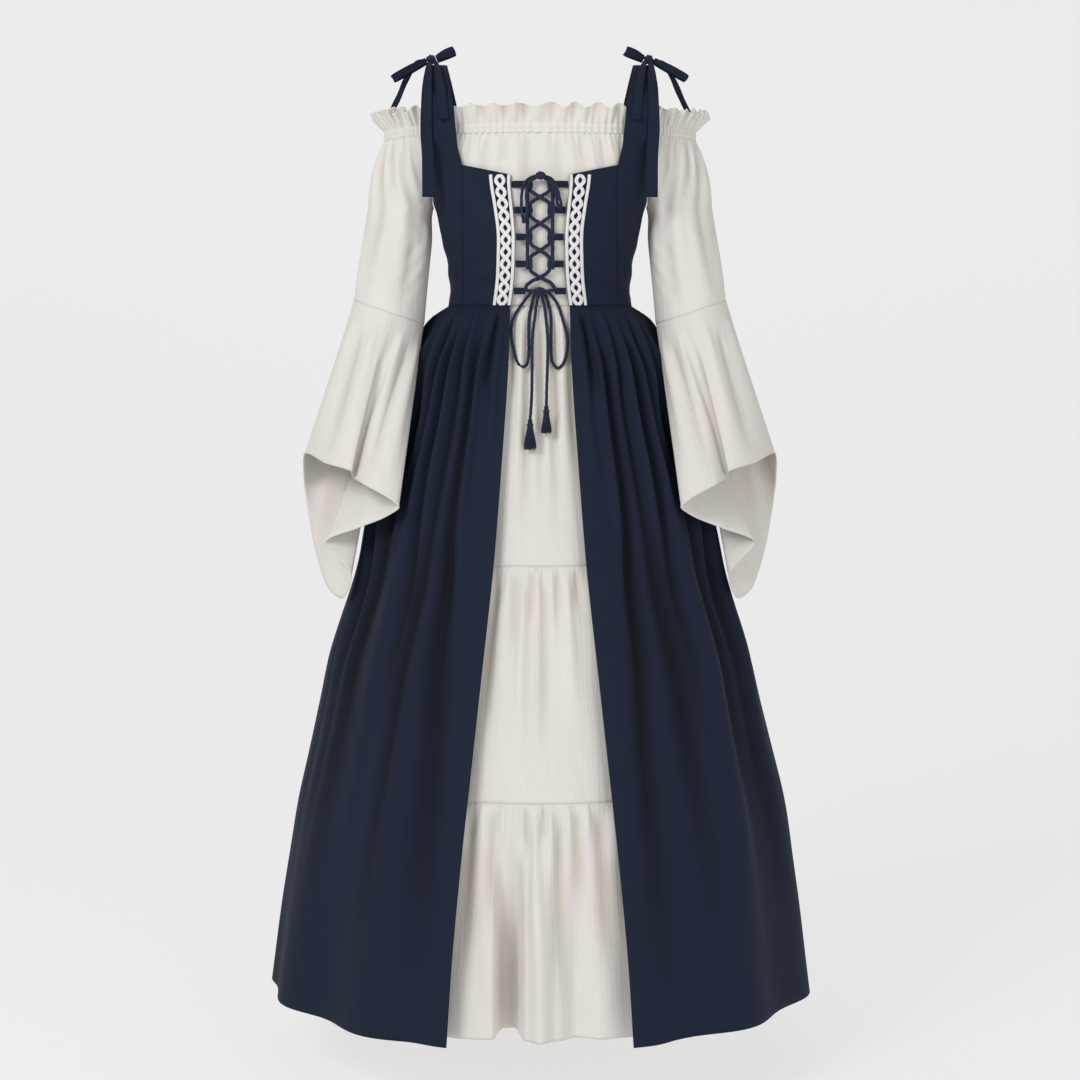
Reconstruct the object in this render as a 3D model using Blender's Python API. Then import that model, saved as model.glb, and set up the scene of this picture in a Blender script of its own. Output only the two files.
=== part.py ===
"""Laced over-gown on an off-shoulder chemise dress, hollow, in the shape it has when worn.

Metres, +Z up. The front of the dress faces -Y and the wearer's left is at +X.
The origin lies between the two shoulder straps, at their tops, where a wearer or a stand holds it.
Angles round the body start at the front (-Y) and grow towards +X.
"""
import bpy
import bmesh
import math
from collections import namedtuple
from mathutils import Vector

# Cloth and seams
CREAM_THICK = 0.0015
NAVY_THICK = 0.0016
SEAM_GAP = 0.0003
STEP = 0.0005  # step for slopes of a surface, in its own 0 to 1 units

# Main heights
SHOULDER_TOP = 0.002
STRAP_ROOT = -0.150
UNDERARM = -0.2165
ARMHOLE_TURN = 0.0115  # height over which the side seam turns into the armhole
WAIST = -0.352
TIER_SEAM_1 = -0.717
TIER_SEAM_2 = -1.038
CREAM_HEM = -1.358
NAVY_HEM = -1.362

# Neck of the chemise, one flat oval that rests on the upper arms
NECK_WIDE = 0.228
NECK_FRONT = 0.092
NECK_BACK = 0.080
NECK_SQUARE = 2.5
RUFFLE_TOP = -0.0630
CASING_TOP = -0.0885
CASING_BASE = -0.1040
NECK_DROP = 0.006  # how far the neck sinks at the arms
NECK_WAVES = 46

Row = namedtuple("Row", "z wide front back square")

# Navy bodice, outer form from the waist to the shoulder. Above the underarm only its front
# and back are used, so the width there is that of the oval on which the straps lie.
BODICE = [
    Row(0.002, 0.60, 0.0010, 0.0010, 2.5),
    Row(-0.003, 0.60, 0.024, 0.022, 2.5),
    Row(-0.012, 0.52, 0.048, 0.044, 2.5),
    Row(-0.030, 0.42, 0.076, 0.070, 2.5),
    Row(-0.050, 0.34, 0.098, 0.090, 2.5),
    Row(-0.075, 0.28, 0.110, 0.101, 2.5),
    Row(-0.100, 0.240, 0.113, 0.102, 2.5),
    Row(-0.125, 0.207, 0.111, 0.099, 2.5),
    Row(-0.150, 0.188, 0.111, 0.095, 2.5),
    Row(-0.170, 0.176, 0.114, 0.094, 2.5),
    Row(-0.190, 0.168, 0.118, 0.093, 2.5),
    Row(-0.205, 0.1625, 0.121, 0.092, 2.5),
    Row(-0.2165, 0.153, 0.1235, 0.091, 2.5),
    Row(-0.224, 0.151, 0.1245, 0.090, 2.5),
    Row(-0.2415, 0.148, 0.1250, 0.089, 2.5),
    Row(-0.259, 0.144, 0.1240, 0.088, 2.5),
    Row(-0.277, 0.1395, 0.1210, 0.086, 2.5),
    Row(-0.2946, 0.1366, 0.1170, 0.084, 2.5),
    Row(-0.312, 0.1344, 0.1130, 0.083, 2.5),
    Row(-0.330, 0.1338, 0.1090, 0.082, 2.5),
    Row(-0.342, 0.1348, 0.1065, 0.082, 2.5),
    Row(-0.352, 0.1365, 0.1050, 0.082, 2.5),
]

# Chemise body above the underarm; below it the body lies inside the bodice by BODY_EASE.
BODY_EASE = 0.0075
SeamRow = namedtuple("SeamRow", "z wide front back square seam_angle")
CHEMISE = [
    SeamRow(-0.1043, 0.228, 0.092, 0.080, 2.5, 40.0),
    SeamRow(-0.125, 0.207, 0.098, 0.082, 2.5, 48.0),
    SeamRow(-0.150, 0.184, 0.1045, 0.083, 2.5, 60.0),
    SeamRow(-0.170, 0.169, 0.108, 0.084, 2.5, 71.0),
    SeamRow(-0.190, 0.1605, 0.1135, 0.085, 2.5, 80.0),
    SeamRow(-0.206, 0.1550, 0.1165, 0.085, 2.5, 90.0),
    SeamRow(-0.2165, 0.1455, 0.1160, 0.0835, 2.5, 90.0),
]
ARMPIT = -0.206

# Navy overskirt, outer form
OVERSKIRT = [
    Row(-0.352, 0.1365, 0.105, 0.082, 2.5),
    Row(-0.3655, 0.152, 0.117, 0.096, 2.4),
    Row(-0.3744, 0.1600, 0.124, 0.104, 2.3),
    Row(-0.408, 0.178, 0.143, 0.124, 2.2),
    Row(-0.443, 0.194, 0.162, 0.146, 2.1),
    Row(-0.520, 0.2165, 0.192, 0.176, 2.0),
    Row(-0.595, 0.2394, 0.215, 0.202, 2.0),
    Row(-0.670, 0.2600, 0.238, 0.227, 2.0),
    Row(-0.745, 0.2763, 0.263, 0.250, 2.0),
    Row(-0.858, 0.3125, 0.300, 0.284, 2.0),
    Row(-0.935, 0.3289, 0.317, 0.303, 2.0),
    Row(-1.011, 0.3454, 0.335, 0.321, 2.0),
    Row(-1.088, 0.3627, 0.353, 0.338, 2.0),
    Row(-1.165, 0.3756, 0.369, 0.352, 2.0),
    Row(-1.242, 0.3884, 0.383, 0.364, 2.0),
    Row(-1.362, 0.4050, 0.400, 0.380, 2.0),
]

# Clear space between the underskirt and the overskirt
EaseRow = namedtuple("EaseRow", "z ease")
UNDER_EASE = [
    EaseRow(-0.352, 0.0075),
    EaseRow(-0.375, 0.0125),
    EaseRow(-0.450, 0.017),
    EaseRow(-0.717, 0.022),
    EaseRow(-1.362, 0.030),
]

# Half widths, in X, of the parts of the navy front
EdgeRow = namedtuple("EdgeRow", "z opening trim")
FRONT_EDGE = [
    EdgeRow(-0.160, 0.0416, 0.0731),
    EdgeRow(-0.178, 0.0420, 0.0716),
    EdgeRow(-0.213, 0.0386, 0.0658),
    EdgeRow(-0.247, 0.0357, 0.0615),
    EdgeRow(-0.281, 0.0358, 0.0616),
    EdgeRow(-0.315, 0.0374, 0.0632),
    EdgeRow(-0.352, 0.0418, 0.0678),
]
PRINCESS_X = 0.112
NECKLINE_DIP = 0.0150  # from the strap corner down to the lacing edge

StrapRow = namedtuple("StrapRow", "z inner outer")
STRAP = [
    StrapRow(0.002, 0.1370, 0.1655),
    StrapRow(-0.022, 0.1316, 0.1655),
    StrapRow(-0.054, 0.1250, 0.1655),
    StrapRow(-0.077, 0.1225, 0.1650),
    StrapRow(-0.100, 0.1205, 0.1625),
    StrapRow(-0.125, 0.1180, 0.1605),
    StrapRow(-0.150, 0.1120, 0.1600),
    StrapRow(-0.170, 0.1120, 0.1585),
    StrapRow(-0.190, 0.1120, 0.1575),
    StrapRow(-0.205, 0.1120, 0.1560),
    StrapRow(-0.2165, 0.1120, 0.1530),
]

# Half widths of the overskirt's open front
OpenRow = namedtuple("OpenRow", "z half")
OPENING = [
    OpenRow(-0.352, 0.0430),
    OpenRow(-0.443, 0.0455),
    OpenRow(-0.583, 0.0548),
    OpenRow(-0.720, 0.0655),
    OpenRow(-0.854, 0.0799),
    OpenRow(-0.987, 0.0945),
    OpenRow(-1.120, 0.1090),
    OpenRow(-1.252, 0.1210),
    OpenRow(-1.362, 0.1280),
]

# Upper sleeve below the armpit: its inner and outer sides, the arm's middle and half depth
SleeveRow = namedtuple("SleeveRow", "z inner outer middle depth")
SLEEVE = [
    SleeveRow(-0.206, 0.1555, 0.252, 0.000, 0.056),
    SleeveRow(-0.224, 0.1592, 0.255, -0.002, 0.057),
    SleeveRow(-0.259, 0.1605, 0.261, -0.010, 0.058),
    SleeveRow(-0.295, 0.1635, 0.266, -0.024, 0.058),
    SleeveRow(-0.330, 0.1665, 0.2705, -0.037, 0.059),
    SleeveRow(-0.378, 0.1705, 0.2790, -0.046, 0.060),
]
ELBOW_MIDDLE = -0.360
ELBOW_SLANT = 0.0175
SLEEVE_PUFF = 0.006
SLEEVE_COLUMNS = 20

# Hem of one flounce, from its inner tip round the front, the outer tip and the back
HemPoint = namedtuple("HemPoint", "name u x y z")
FLOUNCE_HEM = [
    HemPoint("inner tip", 0.00, 0.2010, -0.178, -0.6376),
    HemPoint("front inner", 0.11, 0.2509, -0.172, -0.6056),
    HemPoint("fold behind", 0.19, 0.2680, -0.138, -0.5984),
    HemPoint("fold before", 0.24, 0.2700, -0.160, -0.5874),
    HemPoint("front outer", 0.34, 0.3080, -0.138, -0.5774),
    HemPoint("outer tip", 0.44, 0.3440, -0.075, -0.5673),
    HemPoint("back outer", 0.53, 0.3500, -0.020, -0.6200),
    HemPoint("back low", 0.62, 0.3380, -0.020, -0.7000),
    HemPoint("tail outer", 0.69, 0.3140, -0.070, -0.7616),
    HemPoint("tail inner", 0.75, 0.2890, -0.100, -0.7763),
    HemPoint("tail rise", 0.81, 0.2760, -0.108, -0.7400),
    HemPoint("back tip", 0.87, 0.3120, -0.108, -0.6939),
    HemPoint("back middle", 0.93, 0.2640, -0.136, -0.6712),
    HemPoint("back inner", 0.97, 0.2250, -0.150, -0.6552),
]
FLOUNCE_COLUMNS = 36

# Lace trim: links of one strip, sizes across are shares of its width
LACE_LINKS = 11
LACE_THICK = 0.0011
LACE_LIFT = 0.0007
LACE_BORDER = 0.15
EYE_ACROSS = 0.085
EYE_ALONG = 0.19
GAP_APEX = 0.14
GAP_ALONG = 0.25

# Lacing
TAB_HEIGHTS = [-0.1787, -0.2158, -0.2541, -0.2923, -0.3307]
TAB_TALL = 0.009
TAB_THICK = 0.002
CORD_RADIUS = 0.0024
TASSEL_HEAD = 0.009  # height
TASSEL_WIDE = 0.0085
TASSEL_DEEP = 0.0065
TASSEL_FLARE = 1.2  # how far the strands spread to the front and back, by their own place
STRAND_GAP = 0.00028
STRAND_UNEVEN = 0.06  # share of the length
TIE_LIFT = 0.0050  # of the shoulder ties off the middle of the strap
COLUMN_X = 0.0180
CROSS_X = 0.0128
TAB_END_X = COLUMN_X + CORD_RADIUS + 2 * SEAM_GAP

COLOURS = {
    "cream": (0.79, 0.74, 0.66),
    "navy": (0.014, 0.022, 0.052),
    "lace": (0.87, 0.86, 0.86),
}


def clear_scene():
    for old in list(bpy.data.objects):
        bpy.data.objects.remove(old, do_unlink=True)


def cloth_material(node, colour):
    material = bpy.data.materials.new(node + "_" + colour)
    material.use_nodes = True
    shader = material.node_tree.nodes["Principled BSDF"]
    shader.inputs["Base Color"].default_value = (*COLOURS[colour], 1.0)
    shader.inputs["Roughness"].default_value = 0.9
    shader.inputs["Metallic"].default_value = 0.0
    return material


def add_node(name, data, colour):
    piece = bpy.data.objects.new(name, data)
    piece.data.materials.append(cloth_material(name, colour))
    DRESS.objects.link(piece)
    return piece


def column(table, name, z):
    """A column of a table at height z, by a smooth curve through its rows."""
    rows = sorted(table, key=lambda row: row.z)
    if z <= rows[0].z:
        return getattr(rows[0], name)
    if z >= rows[-1].z:
        return getattr(rows[-1], name)
    low = max(i for i in range(len(rows) - 1) if rows[i].z <= z)
    high = low + 1
    span = rows[high].z - rows[low].z
    t = (z - rows[low].z) / span
    a, b = getattr(rows[low], name), getattr(rows[high], name)

    def slope(i):
        before, after = max(i - 1, 0), min(i + 1, len(rows) - 1)
        rise = getattr(rows[after], name) - getattr(rows[before], name)
        return rise / (rows[after].z - rows[before].z)

    return ((2 * t**3 - 3 * t**2 + 1) * a + (t**3 - 2 * t**2 + t) * span * slope(low)
            + (3 * t**2 - 2 * t**3) * b + (t**3 - t**2) * span * slope(high))


def power(value, exponent):
    return math.copysign(abs(value) ** exponent, value)


def oval(angle, wide, front, back, square):
    """A point of a squared oval, at an angle from the front."""
    deep = front if math.cos(angle) > 0 else back
    return (wide * power(math.sin(angle), 2 / square), -deep * power(math.cos(angle), 2 / square))


def angle_of(x, wide, square):
    """The angle from the front at which a squared oval reaches x."""
    return math.asin(max(-1.0, min(1.0, power(x / wide, square / 2))))


def form(table, angle, z, inset=0.0):
    x, y = oval(angle, column(table, "wide", z) - inset, column(table, "front", z) - inset,
                column(table, "back", z) - inset, column(table, "square", z))
    return Vector((x, y, z))


def form_angle(table, x, z, inset=0.0):
    return angle_of(x, column(table, "wide", z) - inset, column(table, "square", z))


def blend(a, b, t):
    return a + (b - a) * t


def ease(t):
    t = max(0.0, min(1.0, t))
    return t * t * (3 - 2 * t)


def spaced(count):
    return [i / count for i in range(count + 1)]


def outward(shape, u, v):
    """Unit normal of a surface, from the slopes of its function."""
    u0, u1 = max(u - STEP, 0.0), min(u + STEP, 1.0)
    v0, v1 = max(v - STEP, 0.0), min(v + STEP, 1.0)
    return (shape(u1, v) - shape(u0, v)).cross(shape(u, v1) - shape(u, v0)).normalized()


def cloth_wall(name, shape, across, down, thick, colour, closed=False, welded_from=None,
               level=(True, True)):
    """One cut of cloth: a wall of even thickness on both sides of shape(u, v).

    closed joins the last column to the first all the way, welded_from from that row on.
    level keeps the first and the last row's edge flat, so that pieces meet at a seam.
    """
    columns, rows = len(across), len(down)
    level_rows = {row for row, kept in zip((0, rows - 1), level) if kept}
    first_welded = 0 if closed else (rows if welded_from is None else welded_from)
    places, numbers = [], {}
    for side in (0.5, -0.5):
        for j, v in enumerate(down):
            for i, u in enumerate(across):
                if i == columns - 1 and j >= first_welded:
                    numbers[side, j, i] = numbers[side, j, 0]
                    continue
                numbers[side, j, i] = len(places)
                normal = outward(shape, u, v)
                if j in level_rows:
                    normal = Vector((normal.x, normal.y, 0)).normalized()
                places.append(shape(u, v) + normal * thick * side)
    faces = []
    for j in range(rows - 1):
        for i in range(columns - 1):
            corners = [(j, i), (j, i + 1), (j + 1, i + 1), (j + 1, i)]
            outer = [places[numbers[0.5, a, b]] for a, b in corners]
            if (outer[0] - outer[2]).length > (outer[1] - outer[3]).length:
                corners = corners[1:] + corners[:1]
            # Both sides of the wall are cut along the same diagonal, so they can't cross.
            for half in (corners[:3], corners[2:] + corners[:1]):
                faces.append([numbers[0.5, a, b] for a, b in half])
                faces.append([numbers[-0.5, a, b] for a, b in reversed(half)])
    rims = [((j, i), (j, i + 1)) for j in (0, rows - 1) for i in range(columns - 1)]
    rims += [((j, i), (j + 1, i)) for i in (0, columns - 1) for j in range(min(first_welded, rows - 1))]
    for a, b in rims:
        faces.append([numbers[0.5, a[0], a[1]], numbers[0.5, b[0], b[1]],
                      numbers[-0.5, b[0], b[1]], numbers[-0.5, a[0], a[1]]])
    mesh = bpy.data.meshes.new(name)
    mesh.from_pydata([tuple(place) for place in places], [], faces)
    cloth = bmesh.new()
    cloth.from_mesh(mesh)
    bmesh.ops.recalc_face_normals(cloth, faces=cloth.faces)
    bmesh.ops.triangulate(cloth, faces=cloth.faces)
    cloth.to_mesh(mesh)
    cloth.free()
    mesh.shade_smooth()
    mesh.set_sharp_from_angle(angle=math.radians(60))
    return add_node(name, mesh, colour)


def gather(u, columns, size):
    """Fine gathers that put each second column out and the others in, none at the ends."""
    fade = min(1.0, min(u, 1 - u) * columns / 2)
    return size * fade * math.cos(math.pi * columns * u)


def neck_point(angle, out, z):
    x, y = oval(angle, NECK_WIDE + out, NECK_FRONT + out, NECK_BACK + out, NECK_SQUARE)
    return Vector((x, y, z - NECK_DROP * math.sin(angle) ** 2))


def neck_ruffle():
    """The neck's elastic casing and the ruffled heading above it, one cloth."""
    columns = 2 * NECK_WAVES
    levels = [CASING_BASE, CASING_TOP, blend(CASING_TOP, RUFFLE_TOP, 0.4), RUFFLE_TOP]

    def shape(u, v):
        z = blend(CASING_BASE, RUFFLE_TOP, v)
        rise = max(0.0, (z - CASING_TOP) / (RUFFLE_TOP - CASING_TOP))
        angle = 2 * math.pi * u
        flare = (0.007 + 0.013 * math.sin(angle) ** 6) * rise
        wave = 0.0034 * rise**0.7 * math.cos(math.pi * columns * u)
        return neck_point(angle, flare + wave, z)

    down = [(z - CASING_BASE) / (RUFFLE_TOP - CASING_BASE) for z in levels]
    cloth_wall("neck_ruffle", shape, spaced(columns), down, CREAM_THICK, "cream", closed=True)


def raglan(z, face):
    """The seam of sleeve and body above the armpit; face is -1 at the front and 1 at the back."""
    angle = math.radians(column(CHEMISE, "seam_angle", z))
    place = form(CHEMISE, angle if face < 0 else math.pi - angle, z)
    place.z -= NECK_DROP * math.sin(angle) ** 2 * ease((z - ARMPIT) / (CASING_BASE - ARMPIT))
    return place


def chemise_body(name, face):
    """Front or back of the chemise, from the neck casing to the waist."""
    top = CASING_BASE - SEAM_GAP

    def shape(u, v):
        z = blend(top, WAIST, v)
        t = 2 * u - 1
        if z > CHEMISE[-1].z:
            limit, table, inset = math.radians(column(CHEMISE, "seam_angle", z)), CHEMISE, 0.0
        else:
            limit, table, inset = math.pi / 2, BODICE, BODY_EASE
        limit = min(limit, math.pi / 2) - SEAM_GAP / column(table, "wide", z)
        angle = t * limit
        drop = NECK_DROP * math.sin(angle) ** 2 * ease((z - ARMPIT) / (CASING_BASE - ARMPIT))
        fold = 0.0012 * math.cos(18 * math.pi * u) * ease(v * 6) * (1 - abs(t)) ** 0.5
        place = form(table, angle if face < 0 else math.pi - angle, z, inset + max(fold, 0.0))
        place.z -= drop
        return place

    down = [0.0, 0.1, 0.22, 0.33, 0.41, 0.46, 0.6, 0.78, 1.0]
    cloth_wall(name, shape, spaced(18), down, CREAM_THICK, "cream")


def sleeve_section(u, z):
    """The arm's tube at height z; u runs from the body round the front, outside and back."""
    inner, outer = column(SLEEVE, "inner", z), column(SLEEVE, "outer", z)
    angle = 2 * math.pi * u
    x = (inner + outer) / 2 - (outer - inner) / 2 * math.cos(angle)
    y = column(SLEEVE, "middle", z) - column(SLEEVE, "depth", z) * math.sin(angle)
    return Vector((x, y, z))


def sleeve_point(u, v):
    """v runs from the neck at 0 to the armpit at 1 and the elbow at 2."""
    if v <= 1:
        top = CASING_BASE - SEAM_GAP
        z = blend(top, ARMPIT, v)
        seam_angle = CHEMISE[0].seam_angle
        neck = neck_point(math.radians(blend(seam_angle, 180 - seam_angle, u)), 0.0, z)
        arm = sleeve_section(u, ARMPIT)
        place = neck.lerp(arm, v)
        place.x += SLEEVE_PUFF * math.sin(math.pi * v) * math.sin(math.pi * u)
        place.z = neck.z + (z - neck.z) * v
        for face, end, near in ((-1, 0.0, 1 - u / 0.3), (1, 1.0, 1 - (1 - u) / 0.3)):
            if near > 0:
                start = neck_point(math.radians(blend(seam_angle, 180 - seam_angle, end)), 0.0, z)
                place += (raglan(z, face) - start.lerp(sleeve_section(end, ARMPIT), v)) * ease(near)
                place.z = blend(place.z, raglan(z, face).z, ease(near) * min(1.0, 4 * v))
        return place
    low = ELBOW_MIDDLE - ELBOW_SLANT * math.cos(2 * math.pi * u)
    return sleeve_section(u, blend(ARMPIT, low, v - 1))


def sleeve(name, side):
    columns = SLEEVE_COLUMNS

    def shape(u, v):
        place = sleeve_point(u, 2 * v)
        middle = Vector((0.205, 0.0, place.z))
        puff = gather(u, columns, 0.0022 * (1 - ease(v / 0.4)))
        away = (place - middle).normalized()
        place += away * puff
        away_from_body = ease(1 - 2.2 * min(u, 1 - u))
        gap = blend(SEAM_GAP, 0.0026, ease(2 * v)) if v < 0.5 else 0.0026 * (1 - ease((v - 0.5) * 8))
        place.x = side * (place.x + gap * away_from_body)
        return place

    down = [0.0, 0.09, 0.22, 0.36, 0.5, 0.6, 0.72, 0.86, 1.0]
    cloth_wall(name, shape, spaced(columns), down, CREAM_THICK, "cream", welded_from=4)


def hem_point(u):
    """A point of the flounce's hem, by a smooth closed curve through its named points."""
    count = len(FLOUNCE_HEM)
    u = u % 1.0
    low = max(i for i in range(count) if FLOUNCE_HEM[i].u <= u)

    def knot(i):
        turns, place = divmod(i, count)
        point = FLOUNCE_HEM[place]
        return point.u + turns, Vector((point.x, point.y, point.z))

    (u0, p0), (u1, p1), (u2, p2), (u3, p3) = (knot(low + k) for k in (-1, 0, 1, 2))
    span = u2 - u1
    t = (u - u1) / span
    m1, m2 = (p2 - p0) / (u2 - u0) * span * 0.8, (p3 - p1) / (u3 - u1) * span * 0.8
    return ((2 * t**3 - 3 * t**2 + 1) * p1 + (t**3 - 2 * t**2 + t) * m1
            + (3 * t**2 - 2 * t**3) * p2 + (t**3 - t**2) * m2)


def flounce(name, side):
    def shape(u, v):
        head = sleeve_point(u, 2.0) - Vector((0, 0, SEAM_GAP))
        place = head.lerp(hem_point(u), v)
        place.x *= side
        return place

    down = [0.0, 0.2, 0.42, 0.7, 1.0]
    cloth_wall(name, shape, spaced(FLOUNCE_COLUMNS), down, CREAM_THICK, "cream", closed=True)


def under_point(angle, z, fold=0.0):
    return form(OVERSKIRT, angle, z, column(UNDER_EASE, "ease", z) + fold)


def spread(t):
    """Turns -1 to 1 into a quarter turn each way, with finer steps at the middle."""
    return math.pi / 2 * (0.4 * t + 0.6 * t**3)


DeepRow = namedtuple("DeepRow", "x inward")
# How far the bottom tier's hem lies behind its oval, across the open front
DEEP_FOLD = [
    DeepRow(-0.300, 0.000), DeepRow(-0.120, 0.010), DeepRow(-0.066, 0.012), DeepRow(-0.052, 0.068),
    DeepRow(-0.035, 0.070), DeepRow(-0.019, 0.004), DeepRow(0.000, -0.012), DeepRow(0.024, 0.002),
    DeepRow(0.050, 0.018), DeepRow(0.085, 0.006), DeepRow(0.120, 0.012), DeepRow(0.300, 0.000),
]


def deep_fold(x):
    for a, b in zip(DEEP_FOLD, DEEP_FOLD[1:]):
        if a.x <= x <= b.x:
            return blend(a.inward, b.inward, ease((x - a.x) / (b.x - a.x)))
    return 0.0


def tier(name, face, top, base, columns, down, gathers, sway, deep=False):
    """One tier of the underskirt, front (-1) or back (1)."""
    def shape(u, v):
        z = blend(top, base, v)
        t = 2 * u - 1
        angle = spread(t) if face < 0 else math.pi / 2 * t
        angle *= 1 - SEAM_GAP / 0.2
        edge = ease(min(u, 1 - u) * 8)
        fold = gather(u, columns, gathers) * (1 - ease(v * 1.6)) * min(1.0, v * 12)
        fold += sway * v * edge * math.sin(9 * angle + 1.0)
        turned = angle if face < 0 else math.pi - angle
        place = under_point(turned, z, fold)
        if deep:
            place.y += deep_fold(place.x) * ease(v * 1.2)
        return place

    cloth_wall(name, shape, spaced(columns), down, CREAM_THICK, "cream")


def overskirt_fold(angle, z):
    """Depth of the big folds, which grow from below the gathers to the hem."""
    grown = ease((WAIST - 0.06 - z) / 0.7)
    return 0.0085 * grown * (math.sin(13 * angle + 0.6) + 0.45 * math.sin(5 * angle - 0.4))


def overskirt(name, start, end, columns):
    """A panel of the overskirt; start and end turn a height into an angle."""
    def shape(u, v):
        z = blend(WAIST - SEAM_GAP, NAVY_HEM, v**1.25)
        angle = blend(start(z), end(z), u)
        fade = ease(min(u, 1 - u) * columns / 3)
        gathers = gather(u, columns, 0.0034) * ease(v * 14) * (1 - ease((v - 0.05) / 0.3))
        inset = NAVY_THICK / 2 + gathers + overskirt_fold(angle, z) * fade
        return form(OVERSKIRT, angle, z, inset)

    down = [0.0, 0.045, 0.10, 0.18, 0.29, 0.43, 0.6, 0.79, 1.0]
    cloth_wall(name, shape, spaced(columns), down, NAVY_THICK, "navy")


def opening_angle(z):
    return form_angle(OVERSKIRT, column(OPENING, "half", z), z)


def neckline(x):
    """Height of the bodice's top edge, which dips towards the lacing."""
    return STRAP_ROOT - NECKLINE_DIP * (PRINCESS_X - abs(x)) / (PRINCESS_X - FRONT_EDGE[0].opening)


def bodice_surface(x, z, lift=0.0):
    """A point of the bodice's front at x, lifted off its middle surface."""
    place = form(BODICE, form_angle(BODICE, x, z, NAVY_THICK / 2), z, NAVY_THICK / 2)
    aside = form(BODICE, form_angle(BODICE, x + 0.002, z, NAVY_THICK / 2), z, NAVY_THICK / 2)
    above = form(BODICE, form_angle(BODICE, x, z + 0.002, NAVY_THICK / 2), z + 0.002, NAVY_THICK / 2)
    normal = (aside - place).cross(above - place).normalized()
    return place + normal * lift


def bodice_front(name, side):
    def shape(u, v):
        x = blend(FRONT_EDGE[0].opening, PRINCESS_X - SEAM_GAP, u)
        z = blend(WAIST, neckline(x), v)
        x = blend(column(FRONT_EDGE, "opening", z), PRINCESS_X - SEAM_GAP, u)
        place = bodice_surface(x, z)
        place.x *= side
        return place

    cloth_wall(name, shape, spaced(4), spaced(9), NAVY_THICK, "navy")


def armhole_angle(z):
    """Where the bodice ends at the side: at the side seam, and above it at the armhole."""
    seam = math.pi / 2 - SEAM_GAP / 0.3
    edge = form_angle(BODICE, column(STRAP, "outer", z) - NAVY_THICK, z, NAVY_THICK / 2)
    return blend(seam, edge, max(0.0, min(1.0, (z - UNDERARM) / ARMHOLE_TURN)))


def bodice_side(name, side):
    """Side front of the bodice, cut in one with its shoulder strap."""
    levels = [WAIST, -0.330, -0.300, -0.265, -0.235, UNDERARM, -0.205, -0.185, STRAP_ROOT,
              -0.125, -0.100, -0.075, -0.050, -0.030, -0.012, -0.003, SHOULDER_TOP]

    def shape(u, v):
        z = blend(WAIST, SHOULDER_TOP, v)
        inner = form_angle(BODICE, column(STRAP, "inner", z) + SEAM_GAP, z, NAVY_THICK / 2)
        place = form(BODICE, blend(inner, armhole_angle(z), u), z, NAVY_THICK / 2)
        place.x *= side
        return place

    down = [(z - WAIST) / (SHOULDER_TOP - WAIST) for z in levels]
    cloth_wall(name, shape, spaced(4), down, NAVY_THICK, "navy", level=(True, False))


def bodice_back():
    levels = [WAIST, -0.325, -0.295, -0.265, -0.235, UNDERARM, -0.205, -0.185, STRAP_ROOT]

    def shape(u, v):
        z = blend(WAIST, STRAP_ROOT, v)
        edge = armhole_angle(z)
        return form(BODICE, math.pi - blend(-edge, edge, u), z, NAVY_THICK / 2)

    down = [(z - WAIST) / (STRAP_ROOT - WAIST) for z in levels]
    cloth_wall("bodice_back", shape, spaced(16), down, NAVY_THICK, "navy")


def back_strap(name, side):
    levels = [STRAP_ROOT + SEAM_GAP, -0.125, -0.100, -0.075, -0.050, -0.030, -0.012, -0.003, SHOULDER_TOP]

    def shape(u, v):
        z = blend(levels[0], SHOULDER_TOP, v)
        inner = form_angle(BODICE, column(STRAP, "inner", z), z, NAVY_THICK / 2)
        outer = form_angle(BODICE, column(STRAP, "outer", z) - NAVY_THICK, z, NAVY_THICK / 2)
        place = form(BODICE, math.pi - blend(inner, outer, u), z, NAVY_THICK / 2)
        place.x *= side
        return place

    down = [(z - levels[0]) / (SHOULDER_TOP - levels[0]) for z in levels]
    cloth_wall(name, shape, spaced(2), down, NAVY_THICK, "navy", level=(True, False))


def lace_outlines():
    """Outline and holes of the lace strip, across 0 to 1 and along 0 to 1."""
    step = 1 / LACE_LINKS
    halves = 2 * LACE_LINKS
    inner_edge = [(0.0, i / halves) for i in range(halves + 1)]
    outer_edge = [(1.0, i / halves) for i in range(halves, -1, -1)]
    outlines = [inner_edge + outer_edge]
    for link in range(LACE_LINKS):
        middle = (link + 0.5) * step
        outlines.append([(0.5 - EYE_ACROSS, middle), (0.5, middle + EYE_ALONG * step),
                         (0.5 + EYE_ACROSS, middle), (0.5, middle - EYE_ALONG * step)])
    for joint in range(1, LACE_LINKS):
        middle = joint * step
        for side in (-1, 1):
            border = 0.5 + side * (0.5 - LACE_BORDER)
            outlines.append([(0.5 + side * GAP_APEX, middle), (border, middle + GAP_ALONG * step),
                             (border, middle - GAP_ALONG * step)])
    return outlines


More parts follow.
